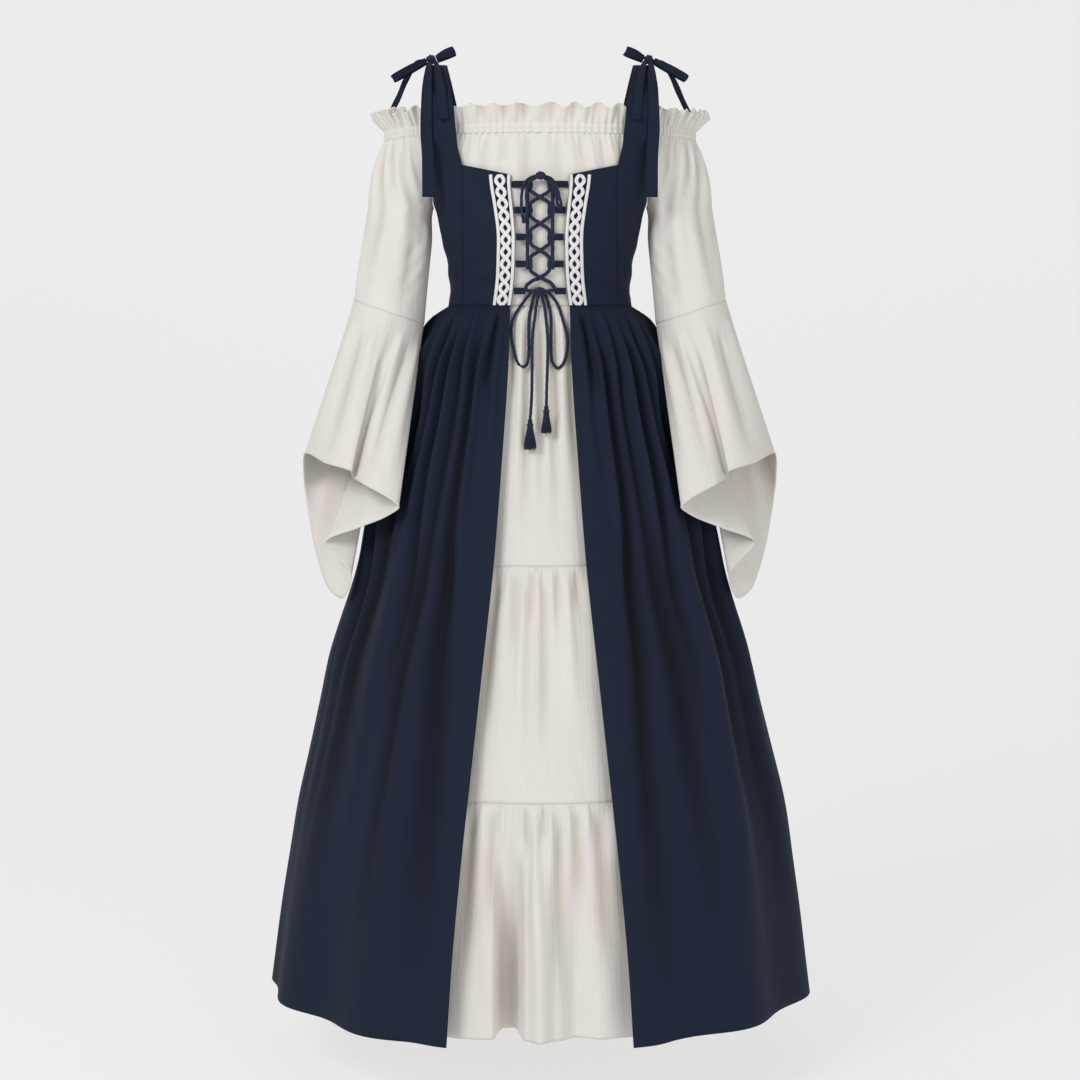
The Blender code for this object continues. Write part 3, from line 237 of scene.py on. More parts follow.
def woven_cloth(name, lit, painted_crease_shade, slub, thread, crinkle, roughness, sheen, sheen_tint):
    """Plain-weave cloth; lit is its colour and the colour after it a painted shade for its creases, thread is the
    spacing in metres, crinkle the height of its soft creases.
    """
    material = bpy.data.materials.new(name)
    material.use_nodes = True
    tree = material.node_tree
    shader = tree.nodes["Principled BSDF"]
    flat = add_node(tree, "ShaderNodeUVMap", uv_map="cloth").outputs["UV"]
    warp = add_node(tree, "ShaderNodeTexWave", {"Vector": flat, "Scale": BAND / thread, "Distortion": 0.6},
                    wave_type="BANDS", bands_direction="X")
    weft = add_node(tree, "ShaderNodeTexWave", {"Vector": flat, "Scale": BAND / thread, "Distortion": 0.6},
                    wave_type="BANDS", bands_direction="Y")
    weave = add_node(tree, "ShaderNodeMath", {0: warp.outputs["Fac"], 1: weft.outputs["Fac"]},
                     operation="MAXIMUM")
    upright = add_node(tree, "ShaderNodeMapping", {"Vector": flat, "Scale": (420.0, 16.0, 1.0)})
    level = add_node(tree, "ShaderNodeMapping", {"Vector": flat, "Scale": (22.0, 480.0, 1.0)})
    slub_up = add_node(tree, "ShaderNodeTexNoise", {"Vector": upright.outputs["Vector"], "Scale": 1.0,
                                                    "Detail": 3.0})
    slub_across = add_node(tree, "ShaderNodeTexNoise", {"Vector": level.outputs["Vector"], "Scale": 1.0,
                                                        "Detail": 3.0})
    yarn = add_node(tree, "ShaderNodeMath", {0: slub_up.outputs["Fac"], 1: slub_across.outputs["Fac"]},
                    operation="ADD")
    soft = add_node(tree, "ShaderNodeMapping", {"Vector": flat, "Scale": (95.0, 11.0, 1.0)})
    creased = add_node(tree, "ShaderNodeTexNoise", {"Vector": soft.outputs["Vector"], "Scale": 1.0,
                                                    "Detail": 4.0, "Distortion": 0.4})
    # Colour: lit cloth, with a warmer, darker painted shade in the creases, uneven by its yarn, darker along the
    # stitching.
    depth = add_node(tree, "ShaderNodeAttribute", attribute_name="painted_crease_shade")
    folded = add_node(tree, "ShaderNodeMix", {"Factor": depth.outputs["Fac"], "A": hex_colour(lit),
                                              "B": hex_colour(painted_crease_shade)}, data_type="RGBA")
    uneven = add_node(tree, "ShaderNodeMapRange", {"Value": yarn.outputs["Value"], "From Min": 0.55,
                                                   "From Max": 1.45, "To Min": 1.0 - slub,
                                                   "To Max": 1.0 + slub})
    seam = add_node(tree, "ShaderNodeAttribute", attribute_name="stitch")
    sewn = add_node(tree, "ShaderNodeMapRange", {"Value": seam.outputs["Fac"], "To Min": 1.0, "To Max": 0.94})
    shade = add_node(tree, "ShaderNodeMath", {0: uneven.outputs["Result"], 1: sewn.outputs["Result"]},
                     operation="MULTIPLY")
    colour = add_node(tree, "ShaderNodeVectorMath", {0: folded.outputs["Result"], "Scale": shade.outputs["Value"]},
                      operation="SCALE")
    # Height: soft creases, then yarn and weave.
    wavy = add_node(tree, "ShaderNodeBump", {"Height": creased.outputs["Fac"], "Strength": 0.6,
                                             "Distance": crinkle})
    threads = add_node(tree, "ShaderNodeBump", {"Height": weave.outputs["Value"], "Strength": 0.35,
                                                "Distance": thread * 0.3, "Normal": wavy.outputs["Normal"]})
    yarns = add_node(tree, "ShaderNodeBump", {"Height": yarn.outputs["Value"], "Strength": 0.4,
                                              "Distance": 0.0003, "Normal": threads.outputs["Normal"]})
    tree.links.new(colour.outputs["Vector"], shader.inputs["Base Color"])
    tree.links.new(yarns.outputs["Normal"], shader.inputs["Normal"])
    shader.inputs["Roughness"].default_value = roughness
    shader.inputs["IOR"].default_value = 1.5
    shader.inputs["Specular IOR Level"].default_value = 0.25
    shader.inputs["Sheen Weight"].default_value = sheen
    shader.inputs["Sheen Roughness"].default_value = 0.5
    shader.inputs["Sheen Tint"].default_value = hex_colour(sheen_tint)
    return material


# Each cloth's second colour is painted shade, mixed in along its creases by their depth.
CREAM_COTTON = woven_cloth("cream_crinkled_cotton", "#dedad4", "#cec6ba", 0.035, 0.0012, 0.0016, 0.9,
                           0.10, "#fff6e8")
NAVY_COTTON = woven_cloth("navy_plain_weave_cotton", "#131d30", "#080d19", 0.10, 0.0012, 0.0010, 0.85,
                          0.03, "#5d75a3")
print("materials:", CREAM_COTTON.name, NAVY_COTTON.name)

# %% [markdown]
# ## One cut of cloth
# A seamstress cuts a flat piece and hangs it. In Blender that is a flat grid whose points move
# to where the worn cloth lies, and then in or out along the surface by its folds. A Solidify
# modifier gives it the thickness of cloth. A simulation could drape it too, but here the
# folds of the real gown are known, so they are placed one by one.

# %% Cloth from a grid
PAINTED_SHADE_DEPTH = 0.0055  # a crease this deep gets the full painted shade


def cloth(name, across, down, place, fold, cut, finish, thick, closed=False, middle=(0.0, 0.0), stitch=None):
    """A grid laid on place(u, v), moved along its normal by fold(u, v, points).

    cut is the flat size in metres. middle is the point that the cloth faces away from. stitch(u, v)
    gives the distance in metres from a sewn line.
    """
    flat = bmesh.new()
    bmesh.ops.create_grid(flat, x_segments=across, y_segments=down, size=0.5)
    mesh = bpy.data.meshes.new(name)
    flat.to_mesh(mesh)
    flat.free()
    corners = np.empty(len(mesh.vertices) * 3)
    mesh.vertices.foreach_get("co", corners)
    corners = corners.reshape(-1, 3)
    i = np.rint((corners[:, 0] + 0.5) * across).astype(int)
    j = np.rint((0.5 - corners[:, 1]) * down).astype(int)
    u, v = np.meshgrid(np.linspace(0, 1, across + 1), np.linspace(0, 1, down + 1))
    points = place(u, v)
    if closed:
        ring = points[:, :-1]
        along_u = np.roll(ring, -1, 1) - np.roll(ring, 1, 1)
        along_u = np.concatenate((along_u, along_u[:, :1]), 1)
    else:
        along_u = np.gradient(points, axis=1)
    normal = np.cross(np.gradient(points, axis=0), along_u)
    normal /= np.maximum(np.linalg.norm(normal, axis=-1, keepdims=True), 1e-9)
    away = points[..., :2] - np.array(middle)
    facing_out = (normal[..., :2] * away).sum() > 0
    if not facing_out:
        normal = -normal
    height = np.broadcast_to(fold(u, v, points), u.shape)
    points = points + normal * height[..., None]
    mesh.vertices.foreach_set("co", points[j, i].ravel())
    # Painted shade mask: the deeper a point lies in a crease, the more of the darker crease colour it gets.
    deepest = max(float(np.percentile(np.abs(height), 96)), PAINTED_SHADE_DEPTH)
    painted_crease_shade = np.clip(-height / deepest, 0.0, 1.0) ** 1.3
    mesh.attributes.new("painted_crease_shade", "FLOAT", "POINT").data.foreach_set("value", painted_crease_shade[j, i].astype("f"))
    sewn = np.exp(-(stitch(u, v) / 0.0009) ** 2) if stitch else np.zeros_like(u)
    mesh.attributes.new("stitch", "FLOAT", "POINT").data.foreach_set("value", sewn[j, i].astype("f"))
    corner_of = np.empty(len(mesh.loops), dtype=int)
    mesh.loops.foreach_get("vertex_index", corner_of)
    spots = np.stack((u[j, i] * cut[0], v[j, i] * cut[1]), -1)[corner_of]
    mesh.uv_layers.new(name="cloth").data.foreach_set("uv", spots.ravel().astype("f"))
    hung = bmesh.new()
    hung.from_mesh(mesh)
    if closed:
        bmesh.ops.remove_doubles(hung, verts=hung.verts, dist=0.00002)
    hung.normal_update()
    outwards = sum((face.normal.xy.dot(Vector(face.calc_center_median().xy) - Vector(middle))) * face.calc_area()
                   for face in hung.faces)
    if outwards < 0:
        bmesh.ops.reverse_faces(hung, faces=hung.faces)
    hung.to_mesh(mesh)
    hung.free()
    mesh.shade_smooth()
    mesh.materials.append(finish)
    piece = bpy.data.objects.new(name, mesh)
    bpy.context.scene.collection.objects.link(piece)
    wall = piece.modifiers.new("thickness", "SOLIDIFY")
    wall.thickness = thick
    wall.offset = 0.0
    print(name, len(mesh.polygons), "faces,", round(sum(face.area for face in mesh.polygons), 4), "m2 of cloth")
    return piece


def wear(piece, node):
    """Puts a piece in a solid's place, on the gown's one body."""
    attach(piece, "root")
    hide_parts(node)
    return piece


Crease = namedtuple("Crease", "at top base wide deep lean")


def creases(rows, s, z):
    """Listed creases: each runs down from top to base at the place at, and widens as it falls."""
    total = np.zeros(np.broadcast(s, z).shape)
    for crease in rows:
        run = (crease.top - z) / (crease.top - crease.base)
        inside = ease(run * 6) * ease((1 - run) * 2)
        spread = crease.wide * (1 + 1.2 * np.clip(run, 0, 1))
        total += crease.deep * inside * np.exp(-((s - crease.at - crease.lean * run) / spread) ** 2)
    return total


# %% [markdown]
# ## Neck ruffle
# The neck is one strip of cotton. Elastic runs in a sewn channel and shirrs it finely, and the
# strip's free edge above the channel stands up as a ruffle. Its waves are uneven, because the
# cloth slides along the elastic, so two waves of different length are added together.

# %% Neck ruffle
def neck_point(angle, out, z):
    x, y = oval(angle, NECK_WIDE + out, NECK_FRONT + out, NECK_BACK + out, NECK_SQUARE)
    return np.stack((x, y, z - NECK_DROP * np.sin(angle) ** 2), -1)


def ruffle_place(u, v):
    angle = 2 * math.pi * u
    z = mix(CASING_BASE, RUFFLE_TOP, v)
    rise = np.maximum(0.0, (z - CASING_TOP) / (RUFFLE_TOP - CASING_TOP))
    flare = (0.007 + 0.013 * np.sin(angle) ** 6) * rise
    scallop = 0.0030 * rise * (np.sin(46 * angle + 1.4 * np.sin(5 * angle)) - 0.4)
    return neck_point(angle, flare, z + scallop)


def ruffle_fold(u, v, points):
    angle = 2 * math.pi * u
    rise = np.maximum(0.0, (v - 0.378) / 0.622)
    drift = 1.3 * np.sin(5 * angle + 0.5) + 0.9 * np.sin(11 * angle)
    waves = 0.0044 * np.cos(52 * angle + drift) + 0.0016 * np.cos(83 * angle - 1.7 * drift)
    channel = np.clip(v / 0.378, 0, 1)
    puff = 0.0009 * np.sin(math.pi * channel) ** 0.7 * (v < 0.378)
    shirring = 0.0012 * np.cos(168 * angle + 2.0 * drift) * (1 - 0.4 * np.sin(math.pi * channel))
    return waves * rise**0.6 * (1 + 0.35 * np.sin(7 * angle + 2)) + puff + shirring * (1 - 0.7 * rise)


def ruffle_stitch(u, v):
    tall = RUFFLE_TOP - CASING_BASE
    return np.minimum(np.minimum(np.abs(v - 0.36), np.abs(v - 0.19)) * tall, np.abs(v - 0.95) * tall)


RUFFLE_CUT = (1.72, 0.044)
neck_ruffle = cloth("gathered_neck_ruffle", 760, 16, ruffle_place, ruffle_fold, RUFFLE_CUT, CREAM_COTTON,
                    CREAM_THICK, closed=True, stitch=ruffle_stitch)
wear(neck_ruffle, "neck_ruffle")

# %% [markdown]
# ## Chemise body
# Below the elastic the cotton opens from tight shirring into soft folds that run down into the
# bodice. Each fold has its own length. The table holds them from the wearer's right to left.

# %% Chemise body
NECK_LAP = 0.0012  # body and sleeves run this far up behind the channel


def chemise_place(face):
    top = CASING_BASE + NECK_LAP

    def place(u, v):
        z = mix(top, WAIST, v)
        high = z > CHEMISE[-1].z
        limit = np.where(high, np.radians(column(CHEMISE, "seam_angle", z)), math.pi / 2)
        wide = np.where(high, column(CHEMISE, "wide", z), column(BODICE, "wide", z) - BODY_EASE)
        front = np.where(high, column(CHEMISE, "front", z), column(BODICE, "front", z) - BODY_EASE)
        back = np.where(high, column(CHEMISE, "back", z), column(BODICE, "back", z) - BODY_EASE)
        angle = (2 * u - 1) * (np.minimum(limit, math.pi / 2) - SEAM_GAP / wide)
        drop = NECK_DROP * np.sin(angle) ** 2 * ease((z - ARMPIT) / (CASING_BASE - ARMPIT))
        x, y = oval(angle if face < 0 else math.pi - angle, wide, front, back, 2.5)
        return np.stack((x, y, z - drop), -1)
    return place


CHEMISE_CREASES = [
    Crease(0.07, -0.104, -0.175, 0.010, 0.0012, -0.005), Crease(0.13, -0.104, -0.160, 0.009, -0.0014, 0.00),
    Crease(0.18, -0.104, -0.195, 0.011, 0.0014, 0.004), Crease(0.235, -0.104, -0.165, 0.008, -0.0016, 0.004),
    Crease(0.28, -0.104, -0.150, 0.008, 0.0012, 0.002), Crease(0.32, -0.104, -0.190, 0.010, -0.0018, 0.006),
    Crease(0.365, -0.104, -0.170, 0.008, 0.0013, 0.003), Crease(0.40, -0.104, -0.150, 0.007, -0.0015, 0.002),
    Crease(0.44, -0.104, -0.200, 0.010, 0.0017, 0.002), Crease(0.475, -0.104, -0.185, 0.008, -0.0018, 0.000),
    Crease(0.51, -0.104, -0.160, 0.007, 0.0014, 0.000), Crease(0.545, -0.104, -0.210, 0.010, -0.0016, -0.003),
    Crease(0.59, -0.104, -0.175, 0.009, 0.0016, -0.002), Crease(0.63, -0.104, -0.155, 0.007, -0.0014, -0.003),
    Crease(0.67, -0.104, -0.190, 0.010, 0.0013, -0.004), Crease(0.715, -0.104, -0.170, 0.009, -0.0017, -0.004),
    Crease(0.76, -0.104, -0.150, 0.008, 0.0012, -0.004), Crease(0.81, -0.104, -0.195, 0.011, -0.0014, -0.006),
    Crease(0.87, -0.104, -0.165, 0.009, 0.0013, 0.00), Crease(0.93, -0.104, -0.180, 0.010, -0.0012, 0.005),
    Crease(0.46, -0.225, -0.345, 0.016, -0.0016, 0.010), Crease(0.535, -0.215, -0.345, 0.015, 0.0013, -0.012),
    Crease(0.40, -0.260, -0.350, 0.014, 0.0010, 0.014), Crease(0.60, -0.250, -0.350, 0.014, -0.0012, -0.010),
]


def chemise_fold(u, v, points):
    z = points[..., 2]
    edge = ease(np.minimum(u, 1 - u) * 14)
    near_neck = np.exp(-((CASING_BASE - z) / 0.014) ** 2)
    fine = 0.0007 * np.cos(2 * math.pi * (38 * u + 0.5 * np.sin(9 * u))) * near_neck
    finer = 0.0004 * np.cos(2 * math.pi * (61 * u + 0.4 * np.sin(13 * u + 1))) * near_neck
    return (1.6 * creases(CHEMISE_CREASES, u, z) + fine + finer) * edge


for face, side_name, density in ((-1, "front", (200, 70)), (1, "back", (90, 36))):
    cut = (0.52, 0.250)
    body = cloth("chemise_body_" + side_name, *density, chemise_place(face), chemise_fold, cut, CREAM_COTTON,
                 CREAM_THICK)
    wear(body, "chemise_" + side_name)

# %% [markdown]
# ## Sleeves
# Each sleeve is one tube, cut wide at the neck and gathered with the body into the same elastic.
# It hangs from the upper arm in long soft folds and is sewn at the elbow to the flounce, in a
# seam that rises over the front of the arm.

# %% Sleeves
SleeveRow = namedtuple("SleeveRow", "z inner outer middle depth")
SLEEVE = [
    SleeveRow(-0.206, 0.1555, 0.252, 0.000, 0.056), SleeveRow(-0.224, 0.1592, 0.255, -0.002, 0.057),
    SleeveRow(-0.259, 0.1605, 0.261, -0.010, 0.058), SleeveRow(-0.295, 0.1635, 0.266, -0.024, 0.058),
    SleeveRow(-0.330, 0.1665, 0.2705, -0.037, 0.059), SleeveRow(-0.378, 0.1705, 0.2790, -0.046, 0.060),
]
ELBOW_MIDDLE = -0.360
ELBOW_SLANT = 0.0175
SLEEVE_PUFF = 0.006


def raglan(z, face):
    angle = np.radians(column(CHEMISE, "seam_angle", z))
    place = form(CHEMISE, angle if face < 0 else math.pi - angle, z)
    place[..., 2] -= NECK_DROP * np.sin(angle) ** 2 * ease((z - ARMPIT) / (CASING_BASE - ARMPIT))
    return place


def sleeve_section(u, z):
    inner, outer = column(SLEEVE, "inner", z), column(SLEEVE, "outer", z)
    angle = 2 * math.pi * u
    x = (inner + outer) / 2 - (outer - inner) / 2 * np.cos(angle)
    y = column(SLEEVE, "middle", z) - column(SLEEVE, "depth", z) * np.sin(angle)
    return np.stack(np.broadcast_arrays(x, y, z), -1)


def sleeve_point(u, v):
    """v runs from the neck at 0 to the armpit at 1 and the elbow at 2."""
    upper = np.minimum(v, 1.0)
    z = mix(CASING_BASE + NECK_LAP, ARMPIT, upper)
    seam_angle = CHEMISE[0].seam_angle
    neck = neck_point(np.radians(mix(seam_angle, 180 - seam_angle, u)), 0.0, z)
    place = mix(neck, sleeve_section(u, np.full_like(u, ARMPIT)), upper[..., None])
    place[..., 0] += SLEEVE_PUFF * np.sin(math.pi * upper) * np.sin(math.pi * u)
    place[..., 2] = neck[..., 2] + (z - neck[..., 2]) * upper
    for face, end, near in ((-1, 0.0, 1 - u / 0.3), (1, 1.0, 1 - (1 - u) / 0.3)):
        weight = ease(near)[..., None]
        start = neck_point(np.full_like(u, math.radians(mix(seam_angle, 180 - seam_angle, end))), 0.0, z)
        arm = sleeve_section(np.full_like(u, end), np.full_like(u, ARMPIT))
        seam = raglan(z, face)
        place = place + (seam - mix(start, arm, upper[..., None])) * weight
        level = ease(near) * np.minimum(1.0, 4 * upper)
        place[..., 2] = mix(place[..., 2], seam[..., 2], level)
    low = ELBOW_MIDDLE - ELBOW_SLANT * np.cos(2 * math.pi * u)
    lower = sleeve_section(u, mix(ARMPIT, low, np.clip(v - 1, 0, 1)))
    return np.where((v <= 1)[..., None], place, lower)


def sleeve_place(side):
    def place(u, v):
        points = sleeve_point(u, 2 * v)
        beside = ease(1 - 2.2 * np.minimum(u, 1 - u))
        gap = np.where(v < 0.5, mix(SEAM_GAP, 0.0026, ease(2 * v)), 0.0026 * (1 - ease((v - 0.5) * 8)))
        points[..., 0] = side * (points[..., 0] + gap * beside)
        return points
    return place


SLEEVE_CREASES = [
    Crease(0.12, -0.104, -0.235, 0.018, 0.0018, 0.02), Crease(0.17, -0.104, -0.180, 0.014, -0.0018, 0.01),
    Crease(0.22, -0.104, -0.345, 0.020, 0.0026, 0.00), Crease(0.27, -0.104, -0.215, 0.014, -0.0022, 0.01),
    Crease(0.31, -0.104, -0.170, 0.012, 0.0016, 0.00), Crease(0.36, -0.104, -0.360, 0.022, -0.0026, -0.02),
    Crease(0.42, -0.104, -0.250, 0.018, 0.0022, 0.00), Crease(0.47, -0.104, -0.190, 0.014, -0.0018, 0.01),
    Crease(0.53, -0.104, -0.330, 0.022, 0.0024, 0.01), Crease(0.59, -0.104, -0.200, 0.015, -0.0020, 0.00),
    Crease(0.64, -0.104, -0.300, 0.020, 0.0020, -0.01), Crease(0.70, -0.104, -0.230, 0.016, -0.0022, 0.00),
    Crease(0.76, -0.104, -0.350, 0.022, 0.0022, 0.01), Crease(0.83, -0.104, -0.190, 0.015, -0.0018, 0.00),
    Crease(0.30, -0.230, -0.372, 0.024, 0.0022, 0.03), Crease(0.16, -0.250, -0.372, 0.022, -0.0020, 0.02),
    Crease(0.45, -0.240, -0.370, 0.020, 0.0018, -0.02), Crease(0.08, -0.225, -0.330, 0.020, 0.0016, 0.02),
    Crease(0.68, -0.240, -0.370, 0.024, -0.0020, 0.02), Crease(0.90, -0.235, -0.350, 0.022, 0.0016, -0.01),
]


def sleeve_fold(u, v, points):
    z = points[..., 2]
    edge = ease(np.minimum(u, 1 - u) * 9)
    near_neck = np.exp(-(v * 0.27 / 0.018) ** 2)
    fine = 0.0009 * np.cos(2 * math.pi * (30 * u + 0.5 * np.sin(8 * u))) * near_neck
    drag = 0.0007 * np.sin((z + 0.35 * u) * 210) * np.exp(-((z + 0.30) / 0.04) ** 2) * np.exp(-((u - 0.12) / 0.1) ** 2)
    meet = ease((1 - v) * 16) * 0.8 + 0.2
    return (1.6 * creases(SLEEVE_CREASES, u, z) * meet + fine + drag) * edge


SLEEVE_CUT = (0.46, 0.275)
for side, label in ((-1, "left"), (1, "right")):
    sleeve = cloth("soft_sleeve_" + label, 150, 80, sleeve_place(side), sleeve_fold, SLEEVE_CUT, CREAM_COTTON,
                   CREAM_THICK, middle=(side * 0.205, -0.01),
                   stitch=lambda u, v: (1 - v) * 0.27 - 0.0015)
    wear(sleeve, "sleeve_" + label)

# %% [markdown]
# ## Sleeve flounces
# The flounce is cut as a large ring, so its hem is much longer than the elbow seam and falls in
# deep folds. Its hem is short over the front of the arm and long behind it. The same
# named hem points as the solid's are used, then soft ripples that grow towards the hem.

# %% Sleeve flounces
HemPoint = namedtuple("HemPoint", "name u x y z")
FLOUNCE_HEM = [
    HemPoint("inner tip", 0.00, 0.2010, -0.178, -0.6376), HemPoint("front inner", 0.11, 0.2509, -0.172, -0.6056),
    HemPoint("fold behind", 0.19, 0.2680, -0.138, -0.5984), HemPoint("fold before", 0.24, 0.2700, -0.160, -0.5874),
    HemPoint("front outer", 0.34, 0.3080, -0.138, -0.5774), HemPoint("outer tip", 0.44, 0.3440, -0.075, -0.5673),
    HemPoint("back outer", 0.53, 0.3500, -0.020, -0.6200), HemPoint("back low", 0.62, 0.3380, -0.020, -0.7000),
    HemPoint("tail outer", 0.69, 0.3140, -0.070, -0.7616), HemPoint("tail inner", 0.75, 0.2890, -0.100, -0.7763),
    HemPoint("tail rise", 0.81, 0.2760, -0.108, -0.7400), HemPoint("back tip", 0.87, 0.3120, -0.108, -0.6939),
    HemPoint("back middle", 0.93, 0.2640, -0.136, -0.6712), HemPoint("back inner", 0.97, 0.2250, -0.150, -0.6552),
]


def hem_point(u):
    count = len(FLOUNCE_HEM)
    u = u % 1.0
    low = max(i for i in range(count) if FLOUNCE_HEM[i].u <= u)

    def knot(i):
        turns, place = divmod(i, count)
        point = FLOUNCE_HEM[place]
        return point.u + turns, np.array((point.x, point.y, point.z))

    (u0, p0), (u1, p1), (u2, p2), (u3, p3) = (knot(low + k) for k in (-1, 0, 1, 2))
    span = u2 - u1
    t = (u - u1) / span
    m1, m2 = (p2 - p0) / (u2 - u0) * span * 0.8, (p3 - p1) / (u3 - u1) * span * 0.8
    return ((2 * t**3 - 3 * t**2 + 1) * p1 + (t**3 - 2 * t**2 + t) * m1
            + (3 * t**2 - 2 * t**3) * p2 + (t**3 - t**2) * m2)


def flounce_place(side):
    def place(u, v):
        head = sleeve_point(u, np.full_like(u, 2.0))
        head[..., 2] += 0.0012 - SEAM_GAP
        centre = np.array((head[..., 0].mean(), head[..., 1].mean()))
        head[..., :2] = centre + (head[..., :2] - centre) * 0.992
        hem = np.array([hem_point(share) for share in u[0]])[None]
        points = mix(head, hem, v[..., None])
        points[..., 0] *= side
        return points
    return place


FLOUNCE_CREASES = [
    Crease(0.05, 0.0, -1.1, 0.016, 0.0030, 0.00), Crease(0.10, -0.1, -1.1, 0.014, -0.0030, 0.01),
    Crease(0.15, 0.0, -1.1, 0.016, 0.0034, 0.01), Crease(0.215, -0.2, -1.2, 0.013, -0.0032, 0.00),
    Crease(0.28, 0.0, -1.1, 0.016, 0.0030, 0.01), Crease(0.34, -0.1, -1.1, 0.015, -0.0030, 0.00),
    Crease(0.40, 0.0, -1.1, 0.016, 0.0026, 0.00), Crease(0.49, -0.1, -1.1, 0.016, -0.0030, 0.00),
    Crease(0.56, 0.0, -1.1, 0.018, 0.0034, 0.01), Crease(0.65, -0.2, -1.1, 0.016, -0.0030, 0.00),
    Crease(0.72, 0.0, -1.1, 0.014, 0.0026, 0.00), Crease(0.84, -0.1, -1.1, 0.016, -0.0026, 0.00),
    Crease(0.90, 0.0, -1.1, 0.015, 0.0024, 0.00),
]


def flounce_fold(u, v, points):
    hem_roll = 0.0007 * ease((v - 0.985) / 0.005)
    edge = ease(np.minimum(u, 1 - u) * 20)
    return 1.5 * creases(FLOUNCE_CREASES, u, -v) * ease(v * 4) * edge + hem_roll


FLOUNCE_CUT = (0.98, 0.30)
for side, label in ((-1, "left"), (1, "right")):
    flounce = cloth("fluted_flounce_" + label, 190, 64, flounce_place(side), flounce_fold, FLOUNCE_CUT,
                    CREAM_COTTON, CREAM_THICK, closed=True, middle=(side * 0.255, -0.07),
                    stitch=lambda u, v: np.minimum((1 - v) * 0.30 - 0.006, v * 0.30 - 0.0035))
    wear(flounce, "sleeve_flounce_" + label)

# %% [markdown]
# ## Underskirt
# Three tiers, each gathered to the one above. Just below a seam the cloth is pinched into short
# gathers of different depth, and only some of them grow into folds that reach the next seam.

# %% Underskirt
DeepRow = namedtuple("DeepRow", "x inward")
DEEP_FOLD = [
    DeepRow(-0.300, 0.000), DeepRow(-0.120, 0.010), DeepRow(-0.066, 0.012), DeepRow(-0.052, 0.068),
    DeepRow(-0.035, 0.070), DeepRow(-0.019, 0.004), DeepRow(0.000, -0.012), DeepRow(0.024, 0.002),
    DeepRow(0.050, 0.018), DeepRow(0.085, 0.006), DeepRow(0.120, 0.012), DeepRow(0.300, 0.000),
]


def deep_fold(x):
    total = np.zeros_like(x)
    for a, b in zip(DEEP_FOLD, DEEP_FOLD[1:]):
        inside = (a.x <= x) & (x < b.x)
        total = np.where(inside, mix(a.inward, b.inward, ease((x - a.x) / (b.x - a.x))), total)
    return total


PRESSED = 0.012  # the heavy overskirt presses the tiers inwards where it covers them
LAP, LAP_STEP = 0.0014, 0.0005  # a gathered edge goes this far up and in behind the seam above


def tier_place(face, top, base, sway, deep):
    def place(u, v):
        z = mix(top + LAP, base, v)
        tucked = LAP_STEP * ease(1 - (top + LAP - z) / 0.005)
        t = 2 * u - 1
        angle = math.pi / 2 * (0.4 * t + 0.6 * t**3) if face < 0 else math.pi / 2 * t
        angle = angle * (1 - SEAM_GAP / 0.2)
        opening = form_angle(OVERSKIRT, column(OPENING, "half", z), z)
        covered = np.abs(angle) - opening if face < 0 else 1.0
        tucked = tucked + PRESSED * ease((covered - 0.08) / 0.15) * ease((WAIST - z) / 0.15)
        swing = v if base == CREAM_HEM else 3 * v * (1 - v)
        fold = sway * swing * ease(np.minimum(u, 1 - u) * 8) * np.sin(9 * angle + 1.0)
        inset = column(UNDER_EASE, "ease", z) + fold + tucked
        points = form(OVERSKIRT, angle if face < 0 else math.pi - angle, z, inset)
        if deep:
            points[..., 1] += deep_fold(points[..., 0]) * ease(v * 1.2)
        return points
    return place


TOP_CREASES = [
    Crease(0.265, -0.352, -0.56, 0.012, -0.0030, -0.010), Crease(0.31, -0.352, -0.68, 0.014, 0.0034, -0.012),
    Crease(0.355, -0.352, -0.50, 0.010, -0.0030, -0.006), Crease(0.395, -0.352, -0.64, 0.013, 0.0034, -0.008),
    Crease(0.435, -0.352, -0.71, 0.013, -0.0036, -0.006), Crease(0.47, -0.352, -0.52, 0.010, 0.0030, -0.004),
    Crease(0.505, -0.352, -0.66, 0.012, -0.0032, 0.002), Crease(0.54, -0.352, -0.48, 0.009, 0.0030, 0.004),
    Crease(0.575, -0.352, -0.70, 0.013, -0.0034, 0.006), Crease(0.62, -0.352, -0.60, 0.012, 0.0032, 0.008),
    Crease(0.665, -0.352, -0.66, 0.012, -0.0030, 0.010), Crease(0.71, -0.352, -0.55, 0.012, 0.0030, 0.012),
    Crease(0.15, -0.352, -0.62, 0.020, 0.0030, 0.0), Crease(0.85, -0.352, -0.66, 0.020, 0.0030, 0.0),
]
